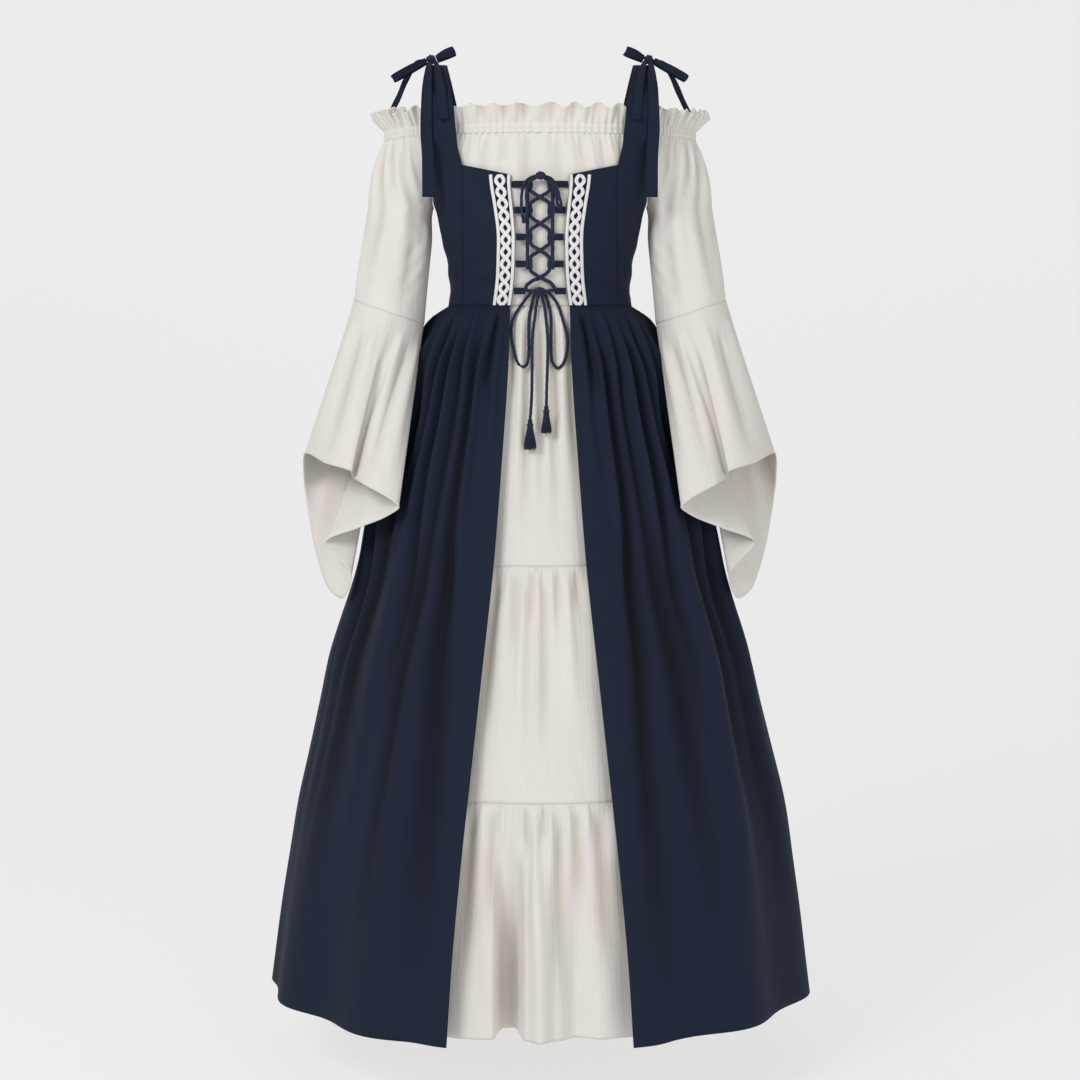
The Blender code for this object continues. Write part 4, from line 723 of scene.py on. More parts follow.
MIDDLE_CREASES = [
    Crease(0.305, -0.717, -0.80, 0.009, 0.0026, 0.0), Crease(0.335, -0.717, -0.98, 0.013, -0.0036, -0.010),
    Crease(0.37, -0.717, -0.79, 0.008, 0.0024, -0.002), Crease(0.40, -0.717, -0.86, 0.010, -0.0030, -0.004),
    Crease(0.43, -0.717, -1.02, 0.014, 0.0038, -0.006), Crease(0.465, -0.717, -0.81, 0.008, -0.0028, 0.0),
    Crease(0.49, -0.717, -0.78, 0.007, 0.0022, 0.0), Crease(0.515, -0.717, -1.00, 0.013, -0.0034, 0.004),
    Crease(0.55, -0.717, -0.84, 0.009, 0.0028, 0.002), Crease(0.58, -0.717, -0.80, 0.008, -0.0026, 0.002),
    Crease(0.61, -0.717, -0.96, 0.013, 0.0034, 0.008), Crease(0.645, -0.717, -0.79, 0.008, -0.0024, 0.004),
    Crease(0.68, -0.717, -0.90, 0.011, 0.0026, 0.006), Crease(0.72, -0.717, -0.98, 0.013, -0.0030, 0.008),
    Crease(0.20, -0.717, -0.95, 0.016, -0.0030, 0.0), Crease(0.26, -0.717, -0.86, 0.012, 0.0028, 0.0),
    Crease(0.78, -0.717, -0.92, 0.016, 0.0030, 0.0), Crease(0.10, -0.717, -0.90, 0.020, 0.0030, 0.0),
    Crease(0.90, -0.717, -0.90, 0.020, -0.0030, 0.0),
]
BASE_CREASES = [
    Crease(0.285, -1.038, -1.12, 0.009, 0.0034, 0.0), Crease(0.31, -1.038, -1.30, 0.013, -0.0040, -0.004),
    Crease(0.335, -1.038, -1.11, 0.008, 0.0030, 0.0), Crease(0.36, -1.038, -1.22, 0.010, -0.0036, -0.004),
    Crease(0.385, -1.038, -1.10, 0.007, 0.0030, 0.0), Crease(0.42, -1.038, -1.14, 0.008, 0.0030, 0.0),
    Crease(0.455, -1.038, -1.12, 0.008, -0.0034, 0.0), Crease(0.485, -1.038, -1.28, 0.010, 0.0040, 0.004),
    Crease(0.51, -1.038, -1.10, 0.007, -0.0030, 0.0), Crease(0.535, -1.038, -1.16, 0.008, 0.0034, 0.002),
    Crease(0.56, -1.038, -1.33, 0.013, -0.0042, 0.006), Crease(0.59, -1.038, -1.11, 0.008, 0.0030, 0.0),
    Crease(0.615, -1.038, -1.20, 0.010, -0.0036, 0.004), Crease(0.64, -1.038, -1.10, 0.008, 0.0032, 0.0),
    Crease(0.67, -1.038, -1.30, 0.012, -0.0036, 0.006), Crease(0.70, -1.038, -1.14, 0.009, 0.0032, 0.0),
    Crease(0.73, -1.038, -1.24, 0.012, -0.0034, 0.0), Crease(0.20, -1.038, -1.25, 0.016, 0.0036, 0.0),
    Crease(0.25, -1.038, -1.12, 0.011, -0.0032, 0.0), Crease(0.80, -1.038, -1.22, 0.016, 0.0036, 0.0),
    Crease(0.10, -1.038, -1.20, 0.020, -0.0036, 0.0), Crease(0.90, -1.038, -1.24, 0.020, 0.0036, 0.0),
]


def tier_fold(rows, top, base, tucks):
    """Creases, plus tiny uneven tucks right at the gathered seam, tucks of them across the panel."""
    def fold(u, v, points):
        z = points[..., 2]
        edge = ease(np.minimum(u, 1 - u) * 14)
        near = ease((top - z) / 0.004) * np.exp(-((top - z) / 0.016) ** 2)
        drift = np.sin(2 * math.pi * 3 * u) + 0.6 * np.sin(2 * math.pi * 7 * u + 1.1)
        tiny = 0.0012 * np.cos(2 * math.pi * tucks * u + 2.0 * drift) * near * (0.7 + 0.3 * np.sin(29 * u))
        held = ease((z - base) / 0.02) * 0.85 + 0.15
        return (1.5 * creases(rows, u, z) * held + tiny) * edge
    return fold


TIERS = (
    ("top", WAIST - SEAM_GAP, TIER_SEAM_1 + SEAM_GAP / 2, 0.004, TOP_CREASES, 34, (130, 70), (0.78, 0.370), 0.25),
    ("middle", TIER_SEAM_1 - SEAM_GAP / 2, TIER_SEAM_2 + SEAM_GAP / 2, 0.004, MIDDLE_CREASES, 62, (190, 60),
     (1.12, 0.330), 0.33),
    ("base", TIER_SEAM_2 - SEAM_GAP / 2, CREAM_HEM, 0.006, BASE_CREASES, 78, (230, 62), (1.36, 0.335), 0.42),
)
for name, top, base, sway, rows, tucks, density, cut, area in TIERS:
    tall = top - base
    inset = 0.008 if name == "base" else 0.003  # the hem is turned up deeper than a seam

    def lines(u, v, tall=tall, inset=inset):
        return (1 - v) * tall - inset

    for face, side_name, share in ((-1, "front", 1.0), (1, "back", 0.45)):
        tier = cloth("%s_tier_%s" % (name, side_name), int(density[0] * share), int(density[1] * share),
                     tier_place(face, top, base, sway, name == "base" and face < 0),
                     tier_fold(rows, top, base, tucks), cut, CREAM_COTTON, CREAM_THICK, stitch=lines)
        wear(tier, "underskirt_%s_%s" % (name, side_name))

# %% [markdown]
# ## Overskirt
# The overskirt is open at the front and gathered into the waist seam. The gathers start as tight
# tucks a few millimetres apart, and join into fewer and wider folds on the way down. The largest
# folds are in the solid; the table adds the smaller ones, by their angle round the body in degrees.

# %% Overskirt
def overskirt_wave(angle, z):
    grown = ease((WAIST - 0.06 - z) / 0.7)
    return 0.0085 * grown * (np.sin(13 * angle + 0.6) + 0.45 * np.sin(5 * angle - 0.4))


def skirt_place(start, end, columns):
    def place(u, v):
        z = mix(WAIST - SEAM_GAP, NAVY_HEM, v**1.25)
        angle = mix(start(z), end(z), u)
        fade = ease(np.minimum(u, 1 - u) * columns / 3)
        return form(OVERSKIRT, angle, z, NAVY_MIDDLE + overskirt_wave(angle, z) * fade)
    return place


PLEATS = [
    Crease(19.0, -0.352, -0.62, 1.1, 0.0034, -0.5), Crease(22.5, -0.352, -0.50, 0.9, -0.0042, -0.5),
    Crease(25.5, -0.352, -0.95, 1.2, 0.0044, 0.5), Crease(29.0, -0.352, -1.02, 1.6, -0.0054, 0.0),
    Crease(32.5, -0.352, -0.48, 0.9, 0.0040, 0.5), Crease(35.5, -0.352, -1.10, 1.3, -0.0046, 2.0),
    Crease(39.5, -0.352, -0.78, 1.2, 0.0050, 1.0), Crease(43.5, -0.352, -1.05, 1.7, -0.0060, 1.0),
    Crease(47.0, -0.352, -1.00, 1.3, 0.0042, 1.5), Crease(51.0, -0.352, -0.66, 1.1, -0.0050, 1.0),
    Crease(54.5, -0.352, -0.52, 1.0, 0.0042, 0.5), Crease(58.5, -0.352, -1.25, 1.9, -0.0066, 2.0),
    Crease(63.0, -0.352, -0.82, 1.3, 0.0048, 1.5), Crease(67.5, -0.352, -0.92, 1.6, -0.0064, 0.5),
    Crease(72.0, -0.352, -1.00, 1.5, 0.0044, 1.0), Crease(77.0, -0.352, -1.10, 1.8, -0.0064, 0.5),
    Crease(82.0, -0.352, -0.56, 1.3, 0.0040, 0.0), Crease(86.0, -0.352, -0.90, 1.4, -0.0036, 0.0),
    Crease(96.0, -0.352, -0.80, 1.6, 0.0042, 0.0), Crease(101.0, -0.352, -0.55, 1.4, -0.0044, 0.0),
    Crease(106.0, -0.352, -1.05, 1.7, 0.0046, 0.5), Crease(112.0, -0.352, -0.70, 1.6, -0.0048, 0.5),
    Crease(117.0, -0.352, -0.52, 1.4, 0.0040, 0.0), Crease(122.0, -0.352, -1.15, 1.8, -0.0046, 1.0),
    Crease(128.0, -0.352, -0.85, 1.6, 0.0048, 0.5), Crease(133.0, -0.352, -0.58, 1.4, -0.0044, 0.0),
    Crease(138.0, -0.352, -1.00, 1.7, 0.0044, 0.5), Crease(144.0, -0.352, -0.74, 1.6, -0.0048, 0.0),
    Crease(149.0, -0.352, -0.54, 1.4, 0.0040, 0.0), Crease(154.0, -0.352, -1.20, 1.8, -0.0044, 0.5),
    Crease(160.0, -0.352, -0.80, 1.6, 0.0046, 0.0), Crease(165.0, -0.352, -0.60, 1.4, -0.0042, 0.0),
    Crease(170.0, -0.352, -0.95, 1.6, 0.0040, 0.0), Crease(176.0, -0.352, -0.68, 1.5, -0.0040, 0.0),
    Crease(27.0, -0.62, -1.36, 2.0, -0.0050, -0.6), Crease(39.0, -0.58, -1.36, 1.8, -0.0042, 1.0),
    Crease(51.0, -0.66, -1.36, 2.4, 0.0040, 0.5), Crease(66.0, -0.60, -1.36, 2.2, -0.0050, 1.0),
    Crease(79.0, -0.70, -1.36, 2.2, 0.0036, 0.0), Crease(104.0, -0.60, -1.36, 2.6, -0.0046, 0.0),
    Crease(126.0, -0.64, -1.36, 2.4, 0.0044, 0.0), Crease(147.0, -0.58, -1.36, 2.4, -0.0046, 0.0),
    Crease(166.0, -0.66, -1.36, 2.4, 0.0040, 0.0),
]


def pleat_fold(drift):
    """drift moves the second half's pleats a little, because no two sides gather alike."""
    def fold(u, v, points):
        z = points[..., 2]
        degrees = np.degrees(np.arctan2(np.abs(points[..., 0]) / column(OVERSKIRT, "wide", z),
                                        -points[..., 1] / column(OVERSKIRT, "front", z)))
        degrees = degrees + drift * np.sin(np.radians(degrees) * 9)
        edge = ease(np.minimum(u, 1 - u) * 22)
        near = ease((WAIST - z) / 0.004) * np.exp(-((WAIST - z) / 0.030) ** 2)
        tuck = np.cos(np.radians(degrees) * 150 + 1.6 * np.sin(np.radians(degrees) * 13))
        started = ease((WAIST - z) / 0.006)
        return (1.9 * creases(PLEATS, degrees, z) * started + 0.0011 * tuck * near) * edge
    return fold


def hem_line(tall, inset):
    return lambda u, v: (1 - v**1.25) * tall - inset


def opening_angle(z):
    return form_angle(OVERSKIRT, column(OPENING, "half", z), z)


QUARTER = math.pi / 2
SIDE_SEAM = SEAM_GAP / 2 / OVERSKIRT[0].wide
SKIRTS = (
    ("front_right", opening_angle, lambda z: QUARTER - SIDE_SEAM + 0 * z, 22, (170, 130), (0.62, 1.035), 0.42, 0.0),
    ("front_left", lambda z: -opening_angle(z), lambda z: SIDE_SEAM - QUARTER + 0 * z, 22, (170, 130), (0.62, 1.035),
     0.42, 0.5),
    ("back", lambda z: QUARTER + SIDE_SEAM + 0 * z, lambda z: 3 * QUARTER - SIDE_SEAM + 0 * z, 36, (200, 100),
     (1.26, 1.035), 0.90, 0.3),
)
for label, start, end, columns, density, cut, area, drift in SKIRTS:
    skirt = cloth("gathered_overskirt_" + label, *density, skirt_place(start, end, columns), pleat_fold(drift), cut,
                  NAVY_COTTON, NAVY_THICK, stitch=hem_line(1.03, 0.014))
    wear(skirt, "overskirt_" + label)

# %% [markdown]
# ## Laced bodice
# The bodice is cut close to the body in flat panels, joined by princess seams that run down from
# the corner of the neckline. It has few folds: drag lines that point to the bust and the waist.
# Along each seam the cloth rolls in a little, which is what draws the seam as a fine line.

# %% Laced bodice
def neckline(x):
    return STRAP_ROOT - NECKLINE_DIP * (PRINCESS_X - np.abs(x)) / (PRINCESS_X - FRONT_EDGE[0].opening)


def bodice_surface(x, z, lift=0.0):
    place = form(BODICE, form_angle(BODICE, x, z, NAVY_MIDDLE), z, NAVY_MIDDLE)
    aside = form(BODICE, form_angle(BODICE, x + 0.002, z, NAVY_MIDDLE), z, NAVY_MIDDLE)
    above = form(BODICE, form_angle(BODICE, x, z + 0.002, NAVY_MIDDLE), z + 0.002, NAVY_MIDDLE)
    normal = np.cross(aside - place, above - place)
    normal /= np.linalg.norm(normal, axis=-1, keepdims=True)
    return place + normal * np.asarray(lift)[..., None]


def front_place(side):
    def place(u, v):
        x = mix(FRONT_EDGE[0].opening, PRINCESS_X - SEAM_GAP, u)
        z = mix(WAIST, neckline(x), 1 - v)
        x = mix(column(FRONT_EDGE, "opening", z), PRINCESS_X - SEAM_GAP, u)
        return bodice_surface(x, z) * np.array((side, 1, 1))
    return place


def strap_angles(z, gap=0.0):
    inner = form_angle(BODICE, column(STRAP, "inner", z) + gap, z, NAVY_MIDDLE)
    outer = form_angle(BODICE, column(STRAP, "outer", z) - 2 * NAVY_MIDDLE, z, NAVY_MIDDLE)
    return inner, np.where(z <= UNDERARM, QUARTER - SEAM_GAP / 0.3, outer)


def side_place(side):
    def place(u, v):
        z = mix(SHOULDER_TOP, WAIST, v)
        inner, outer = strap_angles(z, SEAM_GAP)
        return form(BODICE, mix(inner, outer, u), z, NAVY_MIDDLE) * np.array((side, 1, 1))
    return place


def strap_back_place(side):
    def place(u, v):
        z = mix(SHOULDER_TOP, STRAP_ROOT + SEAM_GAP, v)
        inner, outer = strap_angles(z)
        return form(BODICE, math.pi - mix(inner, outer, u), z, NAVY_MIDDLE) * np.array((side, 1, 1))
    return place


def back_place(u, v):
    z = mix(STRAP_ROOT, WAIST, v)
    outer = strap_angles(z)[1]
    return form(BODICE, math.pi - mix(-outer, outer, u), z, NAVY_MIDDLE)


def panel_fold(u, v, points):
    """Seam rolls at both long edges and soft drag lines between them."""
    z = points[..., 2]
    seam = -0.0007 * (np.exp(-(u / 0.05) ** 2) + np.exp(-((1 - u) / 0.05) ** 2))
    drag = 0.0013 * np.sin(150 * z + 4.0 * u + 0.8) * np.exp(-((z + 0.315) / 0.035) ** 2)
    bust = 0.0011 * np.sin(95 * z - 5.5 * u) * np.exp(-((z + 0.215) / 0.045) ** 2)
    edge = ease(np.minimum(u, 1 - u) * 8) * ease(np.minimum(v, 1 - v) * 16)
    return seam * ease(v * 12) * ease((1 - v) * 12) + (drag + bust) * edge


def strap_fold(u, v, points):
    z = points[..., 2]
    rolled = -0.0005 * (np.exp(-(u / 0.06) ** 2) + np.exp(-((1 - u) / 0.06) ** 2))
    crumple = 0.0010 * np.sin(190 * z + 5 * u) * np.exp(-((z + 0.10) / 0.05) ** 2)
    crumple += 0.0013 * np.sin(150 * z + 4 * u) * np.exp(-((z + 0.30) / 0.05) ** 2)
    return rolled + crumple * ease(np.minimum(u, 1 - u) * 8) * ease(np.minimum(v, 1 - v) * 20)


def side_stitch(wide, tall, top=True):
    """Rows of stitching a few millimetres inside the long edges, and the top edge where it is open."""
    def stitch(u, v):
        inside = np.minimum(np.abs(u * wide - 0.003), np.abs((1 - u) * wide - 0.003))
        return np.minimum(inside, np.abs(v * tall - 0.004)) if top else inside
    return stitch


for side, label in ((-1, "left"), (1, "right")):
    front = cloth("laced_panel_" + label, 40, 56, front_place(side), panel_fold, (0.078, 0.205), NAVY_COTTON,
                  NAVY_THICK, stitch=side_stitch(0.076, 0.2))
    wear(front, "bodice_front_" + label)
    flank = cloth("side_panel_and_strap_" + label, 36, 100, side_place(side), strap_fold, (0.075, 0.400),
                  NAVY_COTTON, NAVY_THICK, stitch=side_stitch(0.045, 0.36, False))
    wear(flank, "bodice_side_" + label)
    strap = cloth("back_strap_of_the_gown_" + label, 16, 44, strap_back_place(side), strap_fold, (0.045, 0.200),
                  NAVY_COTTON, NAVY_THICK, stitch=side_stitch(0.04, 0.18, False))
    wear(strap, "back_strap_" + label)
back = cloth("bodice_back_panel", 90, 50, back_place, panel_fold, (0.355, 0.205), NAVY_COTTON, NAVY_THICK,
             stitch=side_stitch(0.35, 0.2))
wear(back, "bodice_back")

# %% [markdown]
# ## Lace trim
# The trim is machine-made cotton braid lace. Two thick wavy cords cross and cross again, which
# leaves a pointed eye in every link and a small triangle beside every crossing, and two straight
# borders hold them. Each cord is a narrow ribbon with a crowned top. The crossing cords pass over
# and under each other by turns.

# %% Thread material
def thread(name, lit, pitch, lean, roughness, relief):
    """Corded thread: ridges lean across a strip whose UV map is in metres."""
    material = bpy.data.materials.new(name)
    material.use_nodes = True
    tree = material.node_tree
    shader = tree.nodes["Principled BSDF"]
    flat = add_node(tree, "ShaderNodeUVMap", uv_map="cloth").outputs["UV"]
    turned = add_node(tree, "ShaderNodeMapping", {"Vector": flat, "Rotation": (0.0, 0.0, lean)})
    twist = add_node(tree, "ShaderNodeTexWave", {"Vector": turned.outputs["Vector"], "Scale": BAND / pitch,
                                                 "Distortion": 1.0, "Detail": 1.0},
                     wave_type="BANDS", bands_direction="Y")
    fuzz = add_node(tree, "ShaderNodeTexNoise", {"Vector": flat, "Scale": 900.0, "Detail": 3.0})
    # The twist bands also set the colour: painted shade in the grooves between strands and a little painted highlight
    # on their crowns.
    shade = add_node(tree, "ShaderNodeMapRange", {"Value": twist.outputs["Fac"], "To Min": 0.72, "To Max": 1.06})
    worn = add_node(tree, "ShaderNodeMapRange", {"Value": fuzz.outputs["Fac"], "From Min": 0.3, "From Max": 0.7,
                                                 "To Min": 0.92, "To Max": 1.06})
    both = add_node(tree, "ShaderNodeMath", {0: shade.outputs["Result"], 1: worn.outputs["Result"]},
                    operation="MULTIPLY")
    base = add_node(tree, "ShaderNodeRGB")
    base.outputs["Color"].default_value = hex_colour(lit)
    colour = add_node(tree, "ShaderNodeVectorMath", {0: base.outputs["Color"], "Scale": both.outputs["Value"]},
                      operation="SCALE")
    ridges = add_node(tree, "ShaderNodeBump", {"Height": twist.outputs["Fac"], "Strength": 0.7, "Distance": relief})
    fibres = add_node(tree, "ShaderNodeBump", {"Height": fuzz.outputs["Fac"], "Strength": 0.3, "Distance": 0.0003,
                                               "Normal": ridges.outputs["Normal"]})
    tree.links.new(colour.outputs["Vector"], shader.inputs["Base Color"])
    tree.links.new(fibres.outputs["Normal"], shader.inputs["Normal"])
    shader.inputs["Roughness"].default_value = roughness
    shader.inputs["Specular IOR Level"].default_value = 0.3
    shader.inputs["Sheen Weight"].default_value = 0.1
    return material


LACE_THREAD = thread("white_cotton_lace_thread", "#fbfafb", 0.0011, 0.5, 0.8, 0.0006)
NAVY_CORD = thread("navy_twisted_cord", "#1c2742", 0.0028, 0.75, 0.8, 0.0008)
print("materials:", LACE_THREAD.name, NAVY_CORD.name)

# %% Lace trim
LACE_LINKS = 11
LACE_LIFT = 0.0007
LACE_THICK = 0.0011
BORDER_WIDE = 0.0044
CORD_WIDE = 0.0050
STRIP_STEPS = 18  # points along one link
EDGE_BUMP, EDGE_BUMPS = 0.09, 540  # share of the width, and radians over the whole strip


def join_pieces(name, pieces):
    """Joins meshes into one object, as one piece of trim."""
    whole = bmesh.new()
    for piece in pieces:
        whole.from_mesh(piece.data)
    mesh = pieces[0].data
    whole.to_mesh(mesh)
    whole.free()
    joined = pieces[0]
    joined.name = name
    for piece in pieces[1:]:
        bpy.data.objects.remove(piece, do_unlink=True)
    return joined


def lace_strip(name, side, centre, wide, over):
    """A crowned ribbon of thread; centre(w) and over(w) give its place across and its height."""
    steps = LACE_LINKS * STRIP_STEPS
    top, base = float(neckline(FRONT_EDGE[0].opening)), WAIST + 0.0012

    def middle(w):
        z = mix(base, top, w)
        return centre(w, column(FRONT_EDGE, "opening", z) + 0.0004, column(FRONT_EDGE, "trim", z)), z

    def place(u, v):
        x, z = middle(v)
        ahead_x, ahead_z = middle(v + 0.002)
        along = np.stack((ahead_x - x, ahead_z - z), -1)
        along /= np.linalg.norm(along, axis=-1, keepdims=True)
        across = (u - 0.5) * wide * (1 + EDGE_BUMP * np.sin(v * EDGE_BUMPS))
        x, z = x + across * along[..., 1], z - across * along[..., 0]
        crown = LACE_THICK * 0.55 * np.cos((u - 0.5) * 2.6)
        z = np.clip(z, base, np.minimum(top, neckline(x)))
        return bodice_surface(x, z, NAVY_MIDDLE + LACE_LIFT + crown + over(v)) * np.array((side, 1, 1))

    return cloth(name, 4, steps, place, lambda u, v, points: 0 * u, (wide, 0.19), LACE_THREAD, 0.0009)


def lace_trim(side, label):
    inset = BORDER_WIDE / 2
    wave = 0.0055
    pieces = [lace_strip("border_inner", side, lambda w, inner, outer: inner + inset, BORDER_WIDE, lambda w: 0 * w),
              lace_strip("border_outer", side, lambda w, inner, outer: outer - inset, BORDER_WIDE, lambda w: 0 * w)]
    for turn in (-1, 1):
        def weave_across(w, inner, outer, turn=turn):
            return (inner + outer) / 2 + turn * wave * np.cos(math.pi * (LACE_LINKS * w - 0.5))

        def weave_over(w, turn=turn):
            return 0.0004 + 0.00035 * turn * np.cos(math.pi * LACE_LINKS * w)
        pieces.append(lace_strip("crossing_%d" % turn, side, weave_across, CORD_WIDE, weave_over))
    trim = join_pieces("braid_lace_" + label, pieces)
    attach(trim, "root")
    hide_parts("lace_trim_" + label)
    return trim


for side, label in ((-1, "left"), (1, "right")):
    lace_trim(side, label)
print("lace links on each side:", LACE_LINKS)

# %% [markdown]
# ## Cords
# The lacing is a soft twisted cord of three strands. A tube is swept along points close to the
# solid's, and its radius swells and dips round and along it, so the three strands show as real
# grooves. A Curve object with a bevel would give a smooth tube without them.

# %% Twisted cord
CORD_RADIUS = 0.0024
CORD_TWIST = 0.0125  # one full turn of a strand


def smooth_path(points, steps):
    path = []
    ends = [points[0] * 2 - points[1]] + list(points) + [points[-1] * 2 - points[-2]]
    for i in range(1, len(ends) - 2):
        p0, p1, p2, p3 = ends[i - 1:i + 3]
        for k in range(steps):
            t = k / steps
            path.append(0.5 * ((2 * p1) + (p2 - p0) * t + (2 * p0 - 5 * p1 + 4 * p2 - p3) * t**2
                               + (3 * p1 - p0 - 3 * p2 + p3) * t**3))
    path.append(points[-1])
    return np.array(path)


def path_length(path):
    return float(np.linalg.norm(np.diff(path, axis=0), axis=1).sum())


def tube(name, path, radius, sides, finish, strands=3, groove=0.16, taper=1.0):
    """A closed tube along a path, grooved by its strands; taper is the end's share of the radius."""
    lengths = np.concatenate(([0.0], np.cumsum(np.linalg.norm(np.diff(path, axis=0), axis=1))))
    along = np.gradient(path, axis=0)
    along /= np.linalg.norm(along, axis=1, keepdims=True)
    sideways = np.cross(along, (0.0, 1.0, 0.0))
    weak = np.linalg.norm(sideways, axis=1) < 0.1
    sideways[weak] = np.cross(along[weak], (1.0, 0.0, 0.0))
    sideways /= np.linalg.norm(sideways, axis=1, keepdims=True)
    upward = np.cross(sideways, along)

    def place(u, v):
        angle = 2 * math.pi * u
        twist = angle * strands + 2 * math.pi * lengths[:, None] / CORD_TWIST * strands / 3
        ends = 1 - (1 - taper) * v
        r = radius * ends * (1 - groove * (0.5 - 0.5 * np.cos(twist)))
        return (path[:, None] + sideways[:, None] * (r * np.cos(angle))[..., None]
                + upward[:, None] * (r * np.sin(angle))[..., None])

    whole = cloth(name, sides, len(path) - 1, place, lambda u, v, points: 0 * u,
                  (2 * math.pi * radius, lengths[-1]), finish, 0.0, closed=True, middle=tuple(path[len(path) // 2][:2]))
    whole.modifiers.clear()
    shut = bmesh.new()
    shut.from_mesh(whole.data)
    bmesh.ops.holes_fill(shut, edges=shut.edges, sides=0)
    bmesh.ops.recalc_face_normals(shut, faces=shut.faces)
    shut.to_mesh(whole.data)
    shut.free()
    return whole


def cream_front(x, z):
    """Outer surface of the chemise and underskirt at the open front."""
    high, middle = z > CHEMISE[-1].z, z > WAIST
    y_high = form(CHEMISE, form_angle(CHEMISE, x, z), z)[..., 1]
    y_body = form(BODICE, form_angle(BODICE, x, z, BODY_EASE), z, BODY_EASE)[..., 1]
    slack = column(UNDER_EASE, "ease", z)
    y_skirt = form(OVERSKIRT, form_angle(OVERSKIRT, x, z, slack), z, slack)[..., 1]
    return np.where(high, y_high, np.where(middle, y_body, y_skirt)) - 0.00075


def lacing_depth(z):
    return float(cream_front(0.0, z)) - 0.0074


def on_cream(points, gap):
    return [(x, float(cream_front(x, z)) - gap, z) for x, z in points]


def cord(name, node, points, steps=8, radius=CORD_RADIUS):
    path = smooth_path([np.array(point) for point in points], steps)
    piece = tube(name, path, radius, 18, NAVY_CORD)
    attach(piece, "root")
    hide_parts(node)
    return piece, path


TAB_HEIGHTS = [-0.1787, -0.2158, -0.2541, -0.2923, -0.3307]
COLUMN_X = 0.0180
CROSS_X = 0.0128
LACING_RADIUS = 0.0029  # the lacing is pulled flat, so it looks wider than the free ends
top, base = TAB_HEIGHTS[0] + 0.006, TAB_HEIGHTS[-1] + 0.031
for side, label in ((-1, "left"), (1, "right")):
    cord("upright_cord_" + label, "lacing_column_" + label,
         [(side * COLUMN_X, lacing_depth(z), z) for z in (top, -0.2, -0.225, -0.25, -0.275, base)], 12,
         LACING_RADIUS)
for start_side, label in ((-1, "a"), (1, "b")):
    points = []
    for number, z in enumerate(TAB_HEIGHTS[:-1]):
        side = start_side * (-1) ** number
        over = 0.0029 if (number % 2 == 0) == (label == "a") else -0.0029
        middle_z = (z + TAB_HEIGHTS[number + 1]) / 2
        for height in (z + 0.010, z - 0.001, z - 0.010):
            points.append((side * CROSS_X, lacing_depth(height), height))
        points.append((0.0, lacing_depth(middle_z) - over, middle_z))
    last = TAB_HEIGHTS[-1]
    points.append((start_side * 0.0125, lacing_depth(last + 0.014), last + 0.0135))
    points.append((start_side * 0.0190, lacing_depth(last + 0.006), last + 0.0075))
    points.append((start_side * 0.0205, lacing_depth(last + 0.002), last + 0.0020))
    points.append((start_side * 0.0140, lacing_depth(last), last + 0.0002))
    points.append((start_side * 0.0080, lacing_depth(last), last - 0.0005))
    cord("crossing_cord_" + label, "lacing_cross_" + label, points, 7, LACING_RADIUS)

# %% [markdown]
# ## Bows and their free ends
# The same cord is tied in a knot and bow at the top and the bottom of the lacing. The two loops
# of the lower bow and the two free ends lie on the cream skirt. The free ends are cords, 0.197 and
# 0.177 m long, and the photograph shows them from the knot to the tassel.

# %% Bows and free ends
LOOP_LEFT = [(-0.0092, -0.3295), (-0.0155, -0.3360), (-0.0265, -0.350), (-0.0375, -0.368),
             (-0.0412, -0.388), (-0.0385, -0.412), (-0.0325, -0.432), (-0.0245, -0.4394),
             (-0.0178, -0.433), (-0.0160, -0.415), (-0.0162, -0.392), (-0.0158, -0.370),
             (-0.0125, -0.352), (-0.0082, -0.3358)]
LOOP_RIGHT = [(0.0092, -0.3295), (0.0155, -0.3360), (0.0255, -0.350), (0.033, -0.372),
              (0.0395, -0.400), (0.0370, -0.425), (0.0305, -0.438), (0.0235, -0.4400),
              (0.0172, -0.430), (0.0160, -0.405), (0.0162, -0.380), (0.0155, -0.365),
              (0.0128, -0.351), (0.0082, -0.3358)]
TAIL_LEFT = [(-0.0027, -0.3376), (-0.0060, -0.357), (-0.0110, -0.400), (-0.0112, -0.440),
             (-0.0118, -0.480), (-0.0140, -0.5130)]
TAIL_RIGHT = [(0.0027, -0.3376), (0.0070, -0.357), (0.0110, -0.400), (0.0105, -0.440),
              (0.0095, -0.470), (0.0090, -0.4940)]
ARCH = [(-0.0235, -0.056), (-0.0255, -0.040), (-0.0265, -0.022), (-0.0240, -0.004), (-0.0150, 0.008),
        (0.0, 0.0115), (0.0150, 0.008), (0.0235, -0.004), (0.0275, -0.018), (0.0315, -0.034)]
TASSEL_HEAD = 0.009
first = TAB_HEIGHTS[0]
RETURN_LEFT = [(-0.0235, -0.056), (-0.0205, -0.050), (-0.0185, -0.034), (-0.0195, -0.014), (-0.0150, 0.002),
               (-0.0040, 0.010)]
RETURN_RIGHT = [(0.0315, -0.034), (0.0265, -0.032), (0.0235, -0.020), (0.0205, -0.006), (0.0140, 0.003),
                (0.0040, 0.010)]
bow_legs = []
for leg, (points, forward) in enumerate(((ARCH, 0.0049), (RETURN_LEFT, 0.0056), (RETURN_RIGHT, 0.0056))):
    laid = [np.array((x, lacing_depth(first + rise) - forward, first + rise)) for x, rise in points]
    bow_legs.append(tube("leg_%d" % leg, smooth_path(laid, 8), CORD_RADIUS, 18, NAVY_CORD))
bow_top = join_pieces("drooping_bow_top", bow_legs)
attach(bow_top, "root")
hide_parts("bow_top")
cord("long_loop_left", "bow_loop_left", on_cream(LOOP_LEFT, CORD_RADIUS + 0.0016))
